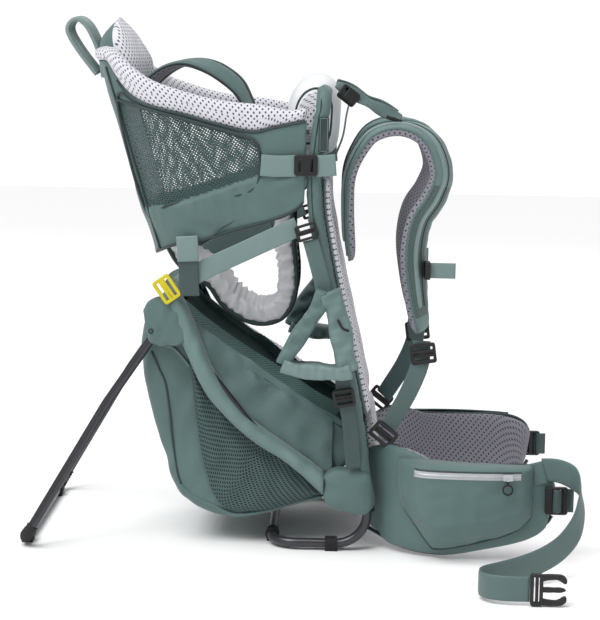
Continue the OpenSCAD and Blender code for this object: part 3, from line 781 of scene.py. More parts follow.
def inside_convex(points, outline):
    """Signed distance to a convex outline given anticlockwise or clockwise: above 0 is inside."""
    centre = outline.mean(0)
    best = np.full(len(points), 1e9)
    for a, b in zip(outline, np.roll(outline, -1, 0)):
        edge = unit(b - a)
        normal = np.array([-edge[1], edge[0]])
        if (centre - a) @ normal < 0:
            normal = -normal
        best = np.minimum(best, (points - a) @ normal)
    return best


def cockpit_points():
    columns = wall_columns(3.0)
    low, high, out = columns[:, 0], columns[:, 1], unit(columns[:, 2])
    rows = 66
    f = np.linspace(0, 1, rows)[None, :, None]
    points = low[:, None] * (1 - f) + high[:, None] * f
    flat = points.reshape(-1, 3)
    xz = flat[:, [0, 2]]
    distance = -inside_convex(xz, WINDOW)
    sideways = np.abs(np.repeat(out[:, 1], rows))
    t = np.tile(f.ravel(), len(columns))
    below = np.clip((lower_z(xz[:, 0]) + 62 - xz[:, 1]) / 50, 0, 1) * (t < 0.62)
    along = np.repeat(np.r_[0, np.cumsum(np.linalg.norm(np.diff(low, axis=0), axis=1))], rows)
    gather = np.sin(along * 0.36 + 2.2 * ripple(flat, 60, 5))
    gather = gather * np.exp(-np.maximum(distance, 0) / 13)
    gather *= (distance > 0) * (xz[:, 1] < 470)
    fold = np.sin((flat[:, 0] * 0.55 + flat[:, 2] * 0.8) * 0.11 + 1.7 * ripple(flat, 90, 8))
    full = np.sin(math.pi * np.clip(t / 0.6, 0, 1))
    belly = 5.0 * full * (distance > 0) * (t < 0.6) * sideways
    bulge = 1.6 * gather + 1.5 * fold * below + 0.9 * ripple(flat, 70, 3) + belly
    front = np.clip((xz[:, 0] + 42) / 40, 0, 1) * sideways
    slant = (flat[:, 2] - 0.9 * flat[:, 0]) * 0.16
    bulge += 1.6 * (np.sin(slant + ripple(flat, 50, 12)) * front * (t < 0.55))
    hem = np.clip(np.minimum(t, 1 - t) / 0.035, 0, 1)
    keep = np.clip(np.abs(distance) / 5, 0, 1)
    bulge = bulge * hem * (0.2 + 0.8 * keep) - 1.0
    return (flat + np.repeat(out, rows, 0) * bulge[:, None]).reshape(points.shape)


def cut_by_window(piece, outline):
    """Cuts the faces of both sides along the window's outline and returns the window as a
    second piece."""
    work = bmesh.new()
    work.from_mesh(piece.data)
    centre = outline.mean(0)
    reach = 16 * MM
    for a, b in zip(outline, np.roll(outline, -1, 0)):
        edge = unit(b - a)
        normal = Vector((-edge[1], 0, edge[0]))
        at = Vector((a[0], 0, a[1])) * MM
        mid = Vector((a[0] + b[0], 0, a[1] + b[1])) * MM / 2
        half = Vector((b[0] - a[0], 0, b[1] - a[1])).length * MM / 2
        near = [f for f in work.faces
                if abs(f.normal.y) > 0.35
                and (Vector((f.calc_center_median().x, 0, f.calc_center_median().z)) - mid).length
                < half + reach]
        geometry = set(near)
        for f in near:
            geometry.update(f.edges)
            geometry.update(f.verts)
        bmesh.ops.bisect_plane(work, geom=list(geometry), plane_co=at, plane_no=normal, dist=1e-6)
    faces = list(work.faces)
    centres = np.array([f.calc_center_median() for f in faces]) / MM
    sideways = np.array([abs(f.normal.y) > 0.2 for f in faces])
    chosen = (inside_convex(centres[:, [0, 2]], outline) > 0) & sideways
    both = bpy.data.meshes.new("window")
    other = work.copy()
    bmesh.ops.delete(work, geom=[f for f, c in zip(faces, chosen) if c], context="FACES")
    other.faces.ensure_lookup_table()
    bmesh.ops.delete(other, geom=[other.faces[k] for k, c in enumerate(chosen) if not c],
                     context="FACES")
    work.to_mesh(piece.data)
    other.to_mesh(both)
    window = bpy.data.objects.new("window", both)
    scene.collection.objects.link(window)
    return window


wall = grid("cockpit_wall", cockpit_points(), [GREEN, GREEN_DARK])
windows = cut_by_window(wall, WINDOW)


def one_side(piece, s, name):
    """A copy of the piece with only the faces on one side, +1 right and -1 left."""
    work = bmesh.new()
    work.from_mesh(piece.data)
    bmesh.ops.delete(work, geom=[f for f in work.faces if f.calc_center_median().y * s > 0],
                     context="FACES")
    data = bpy.data.meshes.new(name)
    work.to_mesh(data)
    data.materials.append(NET)
    half = bpy.data.objects.new(name, data)
    scene.collection.objects.link(half)
    return half


window_right = one_side(windows, 1, "cockpit_window_right")
window_left = one_side(windows, -1, "cockpit_window_left")
bpy.data.objects.remove(windows)
thicken(wall, 2.2)
settled(wall)
put(wall, "pack", ["cockpit_shell"])
put(window_right, "pack", ["mesh_windows"])
put(window_left, "pack")


def on_wall(x, z, lift=0.4):
    """Point on the cockpit's right side at a side-view place, over the corner's curve too."""
    px = (x - WALL_X) * math.cos(LEAN) + (z - WALL_Z) * math.sin(LEAN)
    if px >= CORNER:
        return [x, -SIDE_HALF - lift, z]
    c = np.clip((CORNER - px) / CORNER, 0, 1)
    return [x, -(SIDE_HALF - CORNER) - CORNER * math.sqrt(max(0.0, 1 - c * c)) - lift, z]


def both(make):
    return [make(1), make(-1)]


def piping(name, points, r, material, s, step=2.0):
    line = curve(points, step)
    return tube(name, line if s > 0 else flip(line), r, [material], 8)


def window_binding(s):
    closed = np.vstack([WINDOW, WINDOW[:2]])
    return piping("w", [on_wall(x, z, 1.8) for x, z in closed], 1.9, BINDING, s)


def rear_seam(s):
    line = [on_wall(*leaned(12.0, lambda x, z=z: z)) for z in np.linspace(383, 612, 14)]
    return piping("r", line, 1.5, BINDING, s)


def hem(s):
    line = [on_wall(x, float(lower_z(x)) + 1, 0.0) for x in np.linspace(-176, 11, 26)]
    return piping("h", line, 2.0, BINDING, s)


DART = [[-47, 462], [-52, 446], [-66, 430], [-88, 414], [-100, 404]]


def dart(s):
    line = [on_wall(x, z, 1.2) for x, z in DART]
    return piping("d", line, 0.8, BINDING, s)


def rim_seam(s):
    line = [on_wall(x, float(rim_z(x)) - 1.5, 0.3) for x in np.linspace(-226, 13, 30)]
    return piping("s", line, 1.5, BINDING, s)


put(join("cockpit_bindings", both(window_binding) + both(rear_seam) + both(hem) + both(dart)
         + both(rim_seam)), "pack")


# The rim pad: spacer mesh rolled over the upper edge

def rim_rings():
    columns = wall_columns(5.0, low=rim_z, high=rim_top_z)
    low, high, out = columns[:, 0], columns[:, 1], unit(columns[:, 2])
    rings = []
    count = len(columns)
    for k in range(count):
        d = min(k, count - 1 - k) * 5.0
        end = math.sqrt(max(0.02, 1 - (1 - min(1, (d + 1.5) / 26)) ** 2))
        rise = high[k] - low[k]
        tall = max(float(np.linalg.norm(rise)), 15.0)
        up = unit(rise)
        centre = low[k] + up * tall * 0.5 - out[k] * 9.5
        thick = 22.0 * (0.6 + 0.4 * end)
        a = np.linspace(0, 2 * math.pi, 29)[:-1]
        c, s = np.cos(a), np.sin(a)
        across = np.sign(c) * np.abs(c) ** 0.72 * thick / 2
        height = np.sign(s) * np.abs(s) ** 0.8 * tall / 2 * (1.0 + 0.08)
        puff = 1 + 0.02 * np.sin(k * 0.7)
        rings.append(centre + across[:, None] * out[k] * puff + height[:, None] * up)
    return np.array(rings)


rim = grid("rim_pad_mesh", rim_rings(), [MESH], closed=True, caps=True)
put(subdivide(rim), "pack", ["rim_pad"])


# ---------------------------------------------------------------- headrest, grab handle

HEAD_BACK = np.array([[597, -260], [612, -262], [626, -263], [640, -264], [652, -262], [664, -254],
                      [672, -245], [677, -236]], float)
HEAD_FRONT = np.array([[597, -190], [610, -191], [622, -193], [633, -198], [645, -204],
                       [657, -211], [668, -221], [677, -236]], float)


def headrest_piece():
    back, front = smooth_rows(HEAD_BACK, 6), smooth_rows(HEAD_FRONT, 6)
    rings = []
    turns = 34
    radii = 1 - (np.linspace(1, 0, 15) ** 1.6)
    for which, order in (("front", radii), ("back", radii[::-1][1:])):
        for r in order:
            loop = []
            for a in np.linspace(0, math.pi, turns):
                y = 86 * r * math.copysign(abs(math.cos(a)) ** 0.86, math.cos(a))
                z = 597 + 79 * r * math.sin(a) ** 0.8
                xb = np.interp(z, back[:, 0], back[:, 1])
                xf = np.interp(z, front[:, 0], front[:, 1])
                wrap = (y / 86) ** 2
                xf = xf - 9 * (1 - wrap) * (1 - (z - 597) / 90) * 0.5
                xb = xb + 14 * wrap
                mid, half = (xb + xf) / 2, (xf - xb) / 2
                lip = (1 - r ** 3.4) ** 0.55 if r < 1 else 0.0
                seam = 1.6 * math.exp(-((r - 0.66) / 0.035) ** 2)
                x = mid + (half * lip - seam if which == "front" else -half * lip)
                loop.append([x, y, z])
            rings.append(loop)
    points = np.array(rings)
    front_rows = len(radii)
    across = points[:, :, 1]
    across = across - np.clip(across / 40, -1, 1) * (points[:, :, 0] + 226)
    flat = np.stack([across, points[:, :, 2]], 2) * MM
    uv = np.concatenate([flat, flat[:, -1:]], 1)
    return grid("headrest_pad", points, [MESH, GREEN], uv=uv,
                pick=lambda i, j, n, m: 0 if i < front_rows + 1 else 1)


headrest = headrest_piece()
put(subdivide(headrest), "pack", ["headrest"])
HANDLE = webbing("handle_webbing", rgb(128, 147, 146), rib=2.2, slant=0.4)
handle_path = curve([[-264, 0, 602], [-272, 0, 612], [-286, 0, 630], [-299, 0, 650], [-302, 0, 662],
                     [-296, 0, 671], [-287, 0, 672], [-277, 0, 664], [-268, 0, 648],
                     [-262, 0, 634]], 3)
handle = sweep("grab_handle_webbing", handle_path, [0.25, 1, 0.1],
               pad_section(26, 7, 10, 3.0, 0.5, under=lambda x, f: 1.6 * np.exp(-(x / 0.3) ** 2)),
               [HANDLE])
put(handle, "pack", ["grab_handle"])


# ---------------------------------------------------------------- child shoulder pads

def child_pad(s):
    rows = curve([[-196, -41, 584, 0.9, -0.45], [-186, -41, 598, 0.95, -0.4],
                  [-168, -42, 611, 1, -0.2], [-146, -42, 618, 1, 0.1], [-122, -42, 615, 1, 0.45],
                  [-100, -43, 605, 1, 0.7], [-78, -43, 587, 1, 0.8], [-63, -43, 560, 1, 0.75]], 3)
    wide = np.stack([0 * rows[:, 3], rows[:, 3], rows[:, 4]], 1)
    path = rows[:, :3]
    if s < 0:
        path, wide = flip(path), flip(wide)
    # One side gets the green cloth, the other the spacer mesh with painted shade.
    piece = sweep("c", path, wide, pad_section(30, 9, 12, 4.0, 0.4, ends=0.05), [GREEN, MESH_PAINTED_SHADE],
                  pick=lambda i, j, n, m: 0 if (j < m // 2 - 1) == (s > 0) else 1)
    tangent = unit(np.gradient(path, axis=0))
    w = unit(wide - (wide * tangent).sum(1, keepdims=True) * tangent)
    edges = [tube("e", path + w * 14.6 * k, 1.7, [BINDING], 8) for k in (-1, 1)]
    return [piece] + edges


child_pads = join("child_shoulder_straps", child_pad(1) + child_pad(-1))
put(child_pads, "pack", ["child_shoulder_pads"])


def child_back():
    rows = curve([[-190, 0, 440], [-206, 0, 490], [-222, 0, 540], [-226, 0, 564]], 5)
    return sweep("child_back_cushion", rows[:, :3] + [2, 0, 0], [0, 1, 0],
                 pad_section(140, 15, 22, 6.0, 0.4, ends=0.08), [MESH])


back_cushion = child_back()
put(back_cushion, "pack", ["child_back_pad"])


def child_strap(s):
    rows = curve([[-60, -42, 556], [-56, -39, 535], [-50, -32, 510], [-46, -18, 480]], 4)
    path = rows if s > 0 else flip(rows)
    return sweep("s", path, [0.1, 1, 0], strap_section(20, 1.8), [WEB])


crotch = sweep("s", curve([[-45, 0, 436], [-38, 0, 420], [-31, 0, 402]], 4), [0, 1, 0],
               strap_section(20, 1.8), [WEB])
put(join("child_harness_webbing", [child_strap(1), child_strap(-1), crotch]), "pack",
    ["child_harness_straps"])


# ---------------------------------------------------------------- seat sling

SLING = [[-176, 424], [-160, 394], [-140, 362], [-104, 338], [-86, 314], [-64, 298], [-43, 292],
         [-22, 298], [-11, 318], [-9, 345], [-12, 372], [-15, 402], [-16, 440], [-17, 468]]
sling_path = even(curve(side(SLING, 0), 4), 1.8)


def sling_ring(f):
    a = np.linspace(0, 2 * math.pi, 41)[:-1]
    c, s = np.cos(a), np.sin(a)
    across = np.sign(c) * np.abs(c) ** 0.25 * 61
    folds = 0.17 * np.sin(f * 130 + 6 * np.sin(f * 17) + 1.6 * c) * (0.6 + 0.4 * np.sin(f * 33 + 1))
    folds += 0.09 * np.sin(f * 260 + 7 * np.sin(f * 11) + 2.5 * s)
    out = np.sign(s) * np.abs(s) ** 0.5 * 12.5 * (1 + folds)
    return np.stack([across * (1 + 0.03 * np.sin(f * 130 + 2 * s)), out], 1)


sling = sweep("seat_sling_pad", sling_path, [0, 1, 0], sling_ring, [SATIN])
put(subdivide(sling), "pack", ["seat_sling"])


def sling_bindings():
    tangent = unit(np.gradient(sling_path, axis=0))
    out = np.cross(tangent, [0, 1, 0])
    parts = []
    for s in (-1, 1):
        line = sling_path - out * 12.0 + [0, 57.5 * s, 0]
        parts.append(tube("b", line, 3.2, [GREEN_DARK], 8))
    return parts


put(join("seat_sling_bindings", sling_bindings()), "pack")


# ---------------------------------------------------------------- bag

BAG_REAR = [[-150, 318], [-172, 312], [-184, 298], [-191, 277], [-195, 239], [-185, 187],
            [-166, 122], [-148, 70], [-130, 53], [-102, 38], [-71, 31], [-29, 38], [4, 49],
            [43, 64]]
BAG_FRONT = [[-136, 302], [-118, 284], [-56, 244], [21, 192], [66, 166], [72, 140], [74, 110]]
BAG_HALF = 119.0


def bag_points():
    rear = even(smooth_rows(BAG_REAR, 10), 5, 2)
    count = len(rear)
    front = even(smooth_rows(BAG_FRONT, 10), 2, 2)
    pick = (np.linspace(0, 1, count) ** 1.25 * (len(front) - 1)).astype(int)
    rings = []
    for k in range(count):
        outer, inner = rear[k], front[pick[k]]
        reach = float(np.linalg.norm(outer - inner))
        into = (outer - inner) / reach
        r = min(15.0, reach * 0.45)
        a = np.linspace(0, math.pi / 2, 9)
        deep = np.r_[np.linspace(0, reach - r, 16)[:-1], reach - r + r * np.sin(a)]
        y = np.r_[np.full(15, -BAG_HALF), -BAG_HALF + r - r * np.cos(a)]
        across = np.linspace(-BAG_HALF + r, BAG_HALF - r, 22)[1:-1]
        y = np.r_[y, across, -y[::-1]]
        deep = np.r_[deep, np.full(20, reach), deep[::-1]]
        xz = inner + into * deep[:, None]
        rings.append(np.stack([xz[:, 0], y, xz[:, 1]], 1))
    points = np.array(rings)
    shape = points.shape
    flat = points.reshape(-1, 3)
    centre = np.array([-60, 0, 170])
    out = unit((flat - centre) * [1, 0.9, 1])
    rear_share = 1 - np.clip(np.abs(flat[:, 1]) / BAG_HALF, 0, 1) ** 8
    sag = 1.6 * ripple(flat, 85, 21) + 0.8 * ripple(flat, 34, 22)
    pleat = np.sin((flat[:, 0] * 0.9 - flat[:, 2] * 0.35) * 0.13 + 1.6 * ripple(flat, 90, 23))
    sag += 1.2 * pleat * (1 - rear_share)
    row = np.repeat(np.arange(count), shape[1])
    hold = np.clip(np.minimum(row, count - 1 - row) / 3, 0, 1)
    return (flat + out * (sag * hold)[:, None]).reshape(shape)


bag = grid("storage_bag_shell", bag_points(), [GREEN])
thicken(bag, 2.0)
put(subdivide(settled(bag)), "pack", ["storage_bag"])


def seam_line(points, r, material, s):
    return piping("t", side(points, -SEAM_Y), r, material, s, 3)


REAR_SEAM = [[-180, 250], [-170, 227], [-162, 209], [-156, 171], [-153, 141], [-146, 95],
             [-141, 78]]
FLAP_EDGE = [[-167, 261], [-149, 253], [-131, 232]]
BAG_BOTTOM = [[-142, 76], [-126, 62], [-98, 49], [-70, 38], [-29, 44], [5, 55], [42, 65]]
SEAM_Y = 119.5
BAND_LOW = [[-158, 314], [-149, 288], [-137, 262], [-116, 216], [-96, 186], [-51, 144],
            [2, 110], [44, 72]]
BAND_HIGH = [[-143, 328], [-132, 306], [-121, 282], [-104, 239], [-90, 216], [-69, 186],
             [-47, 164], [2, 131], [44, 101]]


def bag_trim(s):
    return [seam_line(REAR_SEAM, 1.5, BINDING, s), seam_line(FLAP_EDGE, 2.2, GREEN_PAINTED_LIT, s),
            seam_line(BAG_BOTTOM, 2.4, GREEN, s)]


put(join("storage_bag_seams", bag_trim(1) + bag_trim(-1)), "pack")


# Net side pockets, stretched over the bag

def net_patch(name, low, high, y_of, material, columns=60, rows=34, wrinkle=1.6, seed=31):
    """A cloth between two side-view lines on the right side. It stands y_of(f) from the middle,
    f being 0 at the low line and 1 at the high one."""
    a, b = even(smooth_rows(low, 10), 1, 2), even(smooth_rows(high, 10), 1, 2)
    fa = np.linspace(0, len(a) - 1, columns).astype(int)
    fb = np.linspace(0, len(b) - 1, columns).astype(int)
    f = np.linspace(0, 1, rows)[None, :, None]
    xz = a[fa][:, None] * (1 - f) + b[fb][:, None] * f
    y = np.vectorize(y_of)(np.broadcast_to(f[:, :, 0], xz.shape[:2]))
    points = np.stack([xz[:, :, 0], -y, xz[:, :, 1]], 2)
    flat = points.reshape(-1, 3)
    edge = np.minimum(np.tile(np.linspace(0, 1, rows), columns),
                      1 - np.tile(np.linspace(0, 1, rows), columns))
    flat = flat - np.array([0, 1, 0]) * (wrinkle * ripple(flat, 34, seed)
                                         * np.clip(edge / 0.1, 0, 1))[:, None]
    return grid(name, flat.reshape(points.shape), [material])


def move_left(piece):
    """Puts a piece made for the right side on the left side."""
    for v in piece.data.vertices:
        v.co.y = -v.co.y


POCKET_LOW = [[-131, 246], [-125, 195], [-115, 126], [-98, 67], [-77, 47], [-32, 46], [10, 58],
              [42, 70]]
POCKET_HIGH = [[-129, 248], [-116, 216], [-96, 186], [-51, 144], [2, 110], [44, 73]]


def pocket_depth(f):
    return 124 + 7.5 * math.sin(math.pi * min(1, max(0, f))) ** 0.7


for s, label in ((1, "right"), (-1, "left")):
    patch = net_patch("side_pocket_net_" + label, POCKET_LOW, POCKET_HIGH, pocket_depth, NET_DARK)
    if s < 0:
        move_left(patch)
    put(patch, "pack", ["side_pockets"] if s > 0 else ())


# Fabric band from the kickstand hinge to the boot, over the frame's side tube

def band_piece(s):
    a, b = even(smooth_rows(BAND_LOW, 10), 2, 2), even(smooth_rows(BAND_HIGH, 10), 2, 2)
    n = 70
    a = a[np.linspace(0, len(a) - 1, n).astype(int)]
    b = b[np.linspace(0, len(b) - 1, n).astype(int)]
    f = np.linspace(0, 1, 15)
    rings = []
    for k in range(n):
        xz = a[k] * (1 - f[:, None]) + b[k] * f[:, None]
        y = 134 + 19.5 * np.sqrt(np.maximum(0, 1 - np.abs(2 * f - 1) ** 2.6))
        rings.append(np.stack([xz[:, 0], -y, xz[:, 1]], 1))
    points = np.array(rings)
    flat = points.reshape(-1, 3)
    fold = 1.0 * ripple(flat, 40, 41) + 0.8 * np.sin(flat[:, 0] * 0.22 + 2 * ripple(flat, 60, 42))
    flat = flat - np.array([0, 1, 0]) * fold[:, None]
    points = flat.reshape(points.shape)
    if s < 0:
        points = flip(points)
    piece = grid("band", points, [GREEN_PAINTED_LIT])
    thicken(piece, 1.8)
    low = curve(points[:, 0], 3)
    high = curve(points[:, -1], 3)
    return [piece, tube("e", low, 1.9, [GREEN], 8), tube("e", high, 1.6, [BINDING], 8)]


put(join("frame_side_bands", band_piece(1) + band_piece(-1)), "pack",
    ["side_tube_sleeves"])


# Green panel and net gusset between the band and the child's legs

PANEL_LOW = [[-122, 272], [-104, 228], [-66, 176], [2, 122], [54, 90]]
PANEL_HIGH = [[-129, 295], [-97, 270], [-57, 239], [-37, 218], [3, 197], [54, 168]]
GUSSET_HIGH = [[-146, 318], [-108, 287], [-58, 253], [-10, 224], [32, 196], [68, 177]]
PANEL_DROP, GUSSET_DROP = 12, 40


def panel_depth(f):
    return 132 - PANEL_DROP * f


def gusset_depth(f):
    return 120 - GUSSET_DROP * f


for s, label in ((1, "right"), (-1, "left")):
    panel = net_patch("leg_panel_" + label, PANEL_LOW, PANEL_HIGH, panel_depth, GREEN,
                      rows=30, wrinkle=3.2, seed=51)
    gusset = net_patch("leg_gusset_net_" + label, PANEL_HIGH, GUSSET_HIGH, gusset_depth, NET_FINE,
                       rows=14, seed=52)
    for piece, slot in ((panel, "green_fabric"), (gusset, "net_mesh")):
        if s < 0:
            move_left(piece)
        put(piece, "pack", ["leg_gussets"] if piece is panel and s > 0 else ())


# Fabric boots over the lower frame joints

TUBE_Y = 142.0
BOOT = [[44, 98], [60, 108], [84, 110], [100, 104], [106, 92], [108, 60], [90, 48], [64, 54],
        [44, 72]]


def boot_piece(s):
    outline = even(smooth_rows(BOOT + BOOT[:1], 6), 4, 2)[:-1]
    centre = outline.mean(0)
    rings = []
    for depth in np.linspace(-1, 1, 13):
        scale = (1 - abs(depth) ** 4) ** 0.25 if abs(depth) < 1 else 0.35
        scale = max(scale, 0.35)
        ring = centre + (outline - centre) * scale
        y = -TUBE_Y - 16.5 * depth
        rings.append(ring_at(ring, y))
    points = np.array(rings)
    flat = points.reshape(-1, 3)
    bumps = 1.2 * ripple(flat, 26, 61)
    flat = flat + unit(flat - [centre[0], -TUBE_Y, centre[1]]) * bumps[:, None]
    points = flat.reshape(points.shape)
    return grid("boot", points if s > 0 else flip(points), [GREEN], closed=True, caps=True)


put(join("frame_fabric_boots", [boot_piece(1), boot_piece(-1)]), "pack",
    ["frame_boots"])


# Flap over the kickstand hinge

def hinge_flap(s):
    outline = even(smooth_rows([[-188, 308], [-180, 321], [-161, 325], [-138, 299], [-134, 273],
                                [-147, 263], [-179, 267], [-188, 308]], 8), 4, 2)[:-1]
    centre = outline.mean(0)
    rings = []
    for r in (1.0, 0.92, 0.75, 0.5, 0.3, 0.14):
        ring = centre + (outline - centre) * r
        y = 152 + 3.5 * (1 - r ** 4)
        rings.append(ring_at(ring, -y))
    points = np.array(rings)
    flat = points.reshape(-1, 3)
    fold = 0.9 * np.sin(flat[:, 0] * 0.3 - flat[:, 2] * 0.12 + ripple(flat, 40, 72))
    flat = flat - np.array([0, 1, 0]) * (0.8 * ripple(flat, 24, 71) + fold)[:, None]
    points = flat.reshape(points.shape)
    piece = grid("flap", points if s > 0 else flip(points), [GREEN], closed=True, caps=True)
    eyelet = [[-178 + 2.6 * math.cos(a), -156.5 * s, 282 + 2.6 * math.sin(a)]
              for a in np.linspace(0, 6.3, 14)]
    return join("flap", [piece, tube("eye", eyelet, 0.8, [BLACK], 6)])


put(join("kickstand_hinge_flaps", [hinge_flap(1), hinge_flap(-1)]), "pack")


# Cloth between the legs that closes the bag's top

COVER_LINE = [[-150, 306], [-118, 272], [-56, 232], [-30, 212], [21, 180], [66, 156]]


def bag_cover():
    line = even(smooth_rows(COVER_LINE, 10), 5, 2)
    rings = []
    for x, z in line:
        y = np.linspace(-BAG_HALF, BAG_HALF, 41)
        dip = 10 * (1 - (y / BAG_HALF) ** 2)
        rings.append(np.stack([np.full(41, x), y, z - dip], 1))
    points = np.array(rings)
    flat = points.reshape(-1, 3)
    flat[:, 2] += 2.0 * ripple(flat, 60, 91)
    return grid("bag_cover", flat.reshape(points.shape), [COVER_NET])


cover = bag_cover()
put(thicken(cover, 1.5), "pack")


# ---------------------------------------------------------------- back and chin

UPRIGHT = np.array([[36, 585], [25, 470], [39, 371], [83, 178], [97.2, 76]], float)
UPRIGHT_ROWS = smooth_rows(UPRIGHT, 10)
MESH_GREEN = spacer("perforated_green_mesh", rgb(78, 101, 99), rgb(22, 36, 36), pitch=(4.6, 2.8),
                    size=(2.2, 1.7))


def upright_x(z):
    return np.interp(z, UPRIGHT_ROWS[::-1, 1], UPRIGHT_ROWS[::-1, 0])


def sleeve(s):
    z = np.linspace(556, 96, 156)
    straight = np.stack([upright_x(z), np.full(156, -TUBE_Y), z], 1)
    bend = arc_points([36, -108, 585], [36, -TUBE_Y, 585], [34.4, -TUBE_Y, 558], 22, 10)
    path = even(np.vstack([bend[:-1], straight]), 3)

    def ring(f):
        a = np.arange(22) * 2 * math.pi / 22
        crease = 0.35 * np.sin(f * 95 + 2 * np.sin(a * 2 + f * 14)) + 0.25 * np.sin(f * 210 + a * 3)
        return np.stack([np.cos(a), np.sin(a)], 1) * (9.2 + crease)[:, None]
    seam = path + [-3.2, -9.0, 0]
    if s < 0:
        path, seam = flip(path), flip(seam)
    return [sweep("sleeve", path, [1, 0, 0], ring, [GREEN]), tube("seam", seam, 0.8, [BINDING], 6)]


put(join("frame_fabric_sleeves", sleeve(1) + sleeve(-1)), "pack", ["frame_sleeves"])


def back_pad():
    z = np.linspace(476, 176, 76)
    path = np.stack([upright_x(z) + 14, np.full(76, -84.0), z], 1)
    quilt = lambda x, f: 0.5 * np.sin(f * 34) * (1 - x ** 2)
    pad = sweep("pad", path, [0, 1, 0],
                pad_section(90, 15.5, 20, 6.0, 0.35, top=quilt, ends=0.05), [MESH])
    edges = [tube("e", path + [-1.5, 44.6 * k, 0], 2.2, [GREEN], 8) for k in (-1, 1)]
    return join("back_pad_right", [pad] + edges)


back_right = back_pad()
back_left = mirrored(back_right, "back_pad_left")
put(back_right, "pack", ["back_pads"])
put(back_left, "pack")


def lumbar():
    z = np.linspace(170, 46, 34)
    path = np.stack([upright_x(z) + 15, np.zeros(34), z], 1)
    dish = lambda x, f: -1.4 * np.exp(-(np.abs(np.abs(x) - 0.45) / 0.05) ** 2)
    return sweep("lumbar_cushion", path, [0, 1, 0],
                 pad_section(204, 18, 36, 8.0, 0.35, top=dish, ends=0.12), [MESH])


lumbar_cushion = lumbar()
put(subdivide(lumbar_cushion), "pack", ["lumbar_pad"])


def chin():
    outline = smooth_rows([[-8, 506], [-13, 545], [-9, 576], [5, 598], [25, 607], [44, 601],
                           [54, 583], [56, 560], [50, 512], [22, 503], [-8, 506]], 5)[:-1]
    centre = np.array([22, 552.0])
    rings = []
    across = 97 * np.sin(np.linspace(-math.pi / 2, math.pi / 2, 41))
    for y in across:
        scale = max(0.12, (1 - abs(y / 98) ** 7) ** 0.5)
        sag = 1 + 0.012 * math.sin(y * 0.09)
        ring = centre + (outline - centre) * scale * sag
        rings.append(ring_at(ring, y))
    points = np.array(rings)
    pad = grid("chin", points, [PALE, MESH], closed=True, caps=True,
               pick=lambda i, j, n, m: 1 if i < 4 or i > n - 6 else 0)
    pipes = []
    for k in (5, 35):
        loop = np.vstack([points[k], points[k][:2]])
        pipes.append(tube("p", loop, 1.5, [BINDING], 8))
    return join("chin_cushion", [pad] + pipes)


chin_cushion = chin()
put(chin_cushion, "pack", ["chin_pad"])

finish_node("back_panel", GREEN_DARK)


# ---------------------------------------------------------------- hip belt

FIN_PLAN = [[98, -98], [118, -114], [146, -146], [200, -168], [262, -173], [322, -168], [334, -166]]
FIN_TOP = [[96, 112], [130, 138], [178, 125], [241, 123], [300, 123], [326, 114], [336, 98]]
FIN_LOW = [[96, 22], [143, 8], [194, 5], [244, 14], [296, 27], [330, 50], [336, 70]]
fin_plan_rows = smooth_rows(FIN_PLAN, 10)
fin_top_rows, fin_low_rows = smooth_rows(FIN_TOP, 8), smooth_rows(FIN_LOW, 8)


def fin_y(x):
    return np.interp(x, fin_plan_rows[:, 0], fin_plan_rows[:, 1])


def fin():
    plan = even(fin_plan_rows, 4, 2)
    top = np.interp(plan[:, 0], fin_top_rows[:, 0], fin_top_rows[:, 1])
    low = np.interp(plan[:, 0], fin_low_rows[:, 0], fin_low_rows[:, 1])
    path = np.stack([plan[:, 0], plan[:, 1], (top + low) / 2], 1)
    tall = lambda f: float(np.interp(f, np.linspace(0, 1, len(top)), top - low))
    groove = lambda x, f: 2.6 * np.exp(-(np.abs(x - 0.1 * math.sin(f * 3)) / 0.09) ** 2)
    # One side gets the green cloth, the other the spacer mesh with painted shade.
    pad = sweep("fin", path, [0, 0, 1],
                pad_section(tall, 20, 26, 7.0, 0.3, under=groove, ends=0.05), [GREEN, MESH_PAINTED_SHADE],
                pick=lambda i, j, n, m: 0 if j < m // 2 - 1 else 1)
    edge_top = np.stack([plan[:, 0], plan[:, 1], top - 0.8], 1)
    edge_low = np.stack([plan[:, 0], plan[:, 1], low + 0.8], 1)
    return join("hip_fin_cushion_right", [pad, tube("e", edge_top, 2.6, [BINDING], 8),
                                          tube("e", edge_low, 2.6, [BINDING], 8)])


fin_right = fin()
fin_left = mirrored(fin_right, "hip_fin_cushion_left")
for piece, s, label in ((fin_right, 1, "right"), (fin_left, -1, "left")):
    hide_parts("hip_fin_" + label)
    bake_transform(piece)


POCKET_TOP = [[140, 126], [170, 127], [240, 126], [304, 124]]
POCKET_BASE = [[140, 96], [145, 66], [160, 44], [178, 20], [190, 13], [240, 24], [284, 38],
               [306, 56]]
POCKET_FRONT = [[140, -166], [150, -180], [172, -198], [230, -203.4], [285, -200], [298, -194],
                [306, -184]]
pocket_top, pocket_base = smooth_rows(POCKET_TOP, 8), smooth_rows(POCKET_BASE, 8)
pocket_front = smooth_rows(POCKET_FRONT, 8)


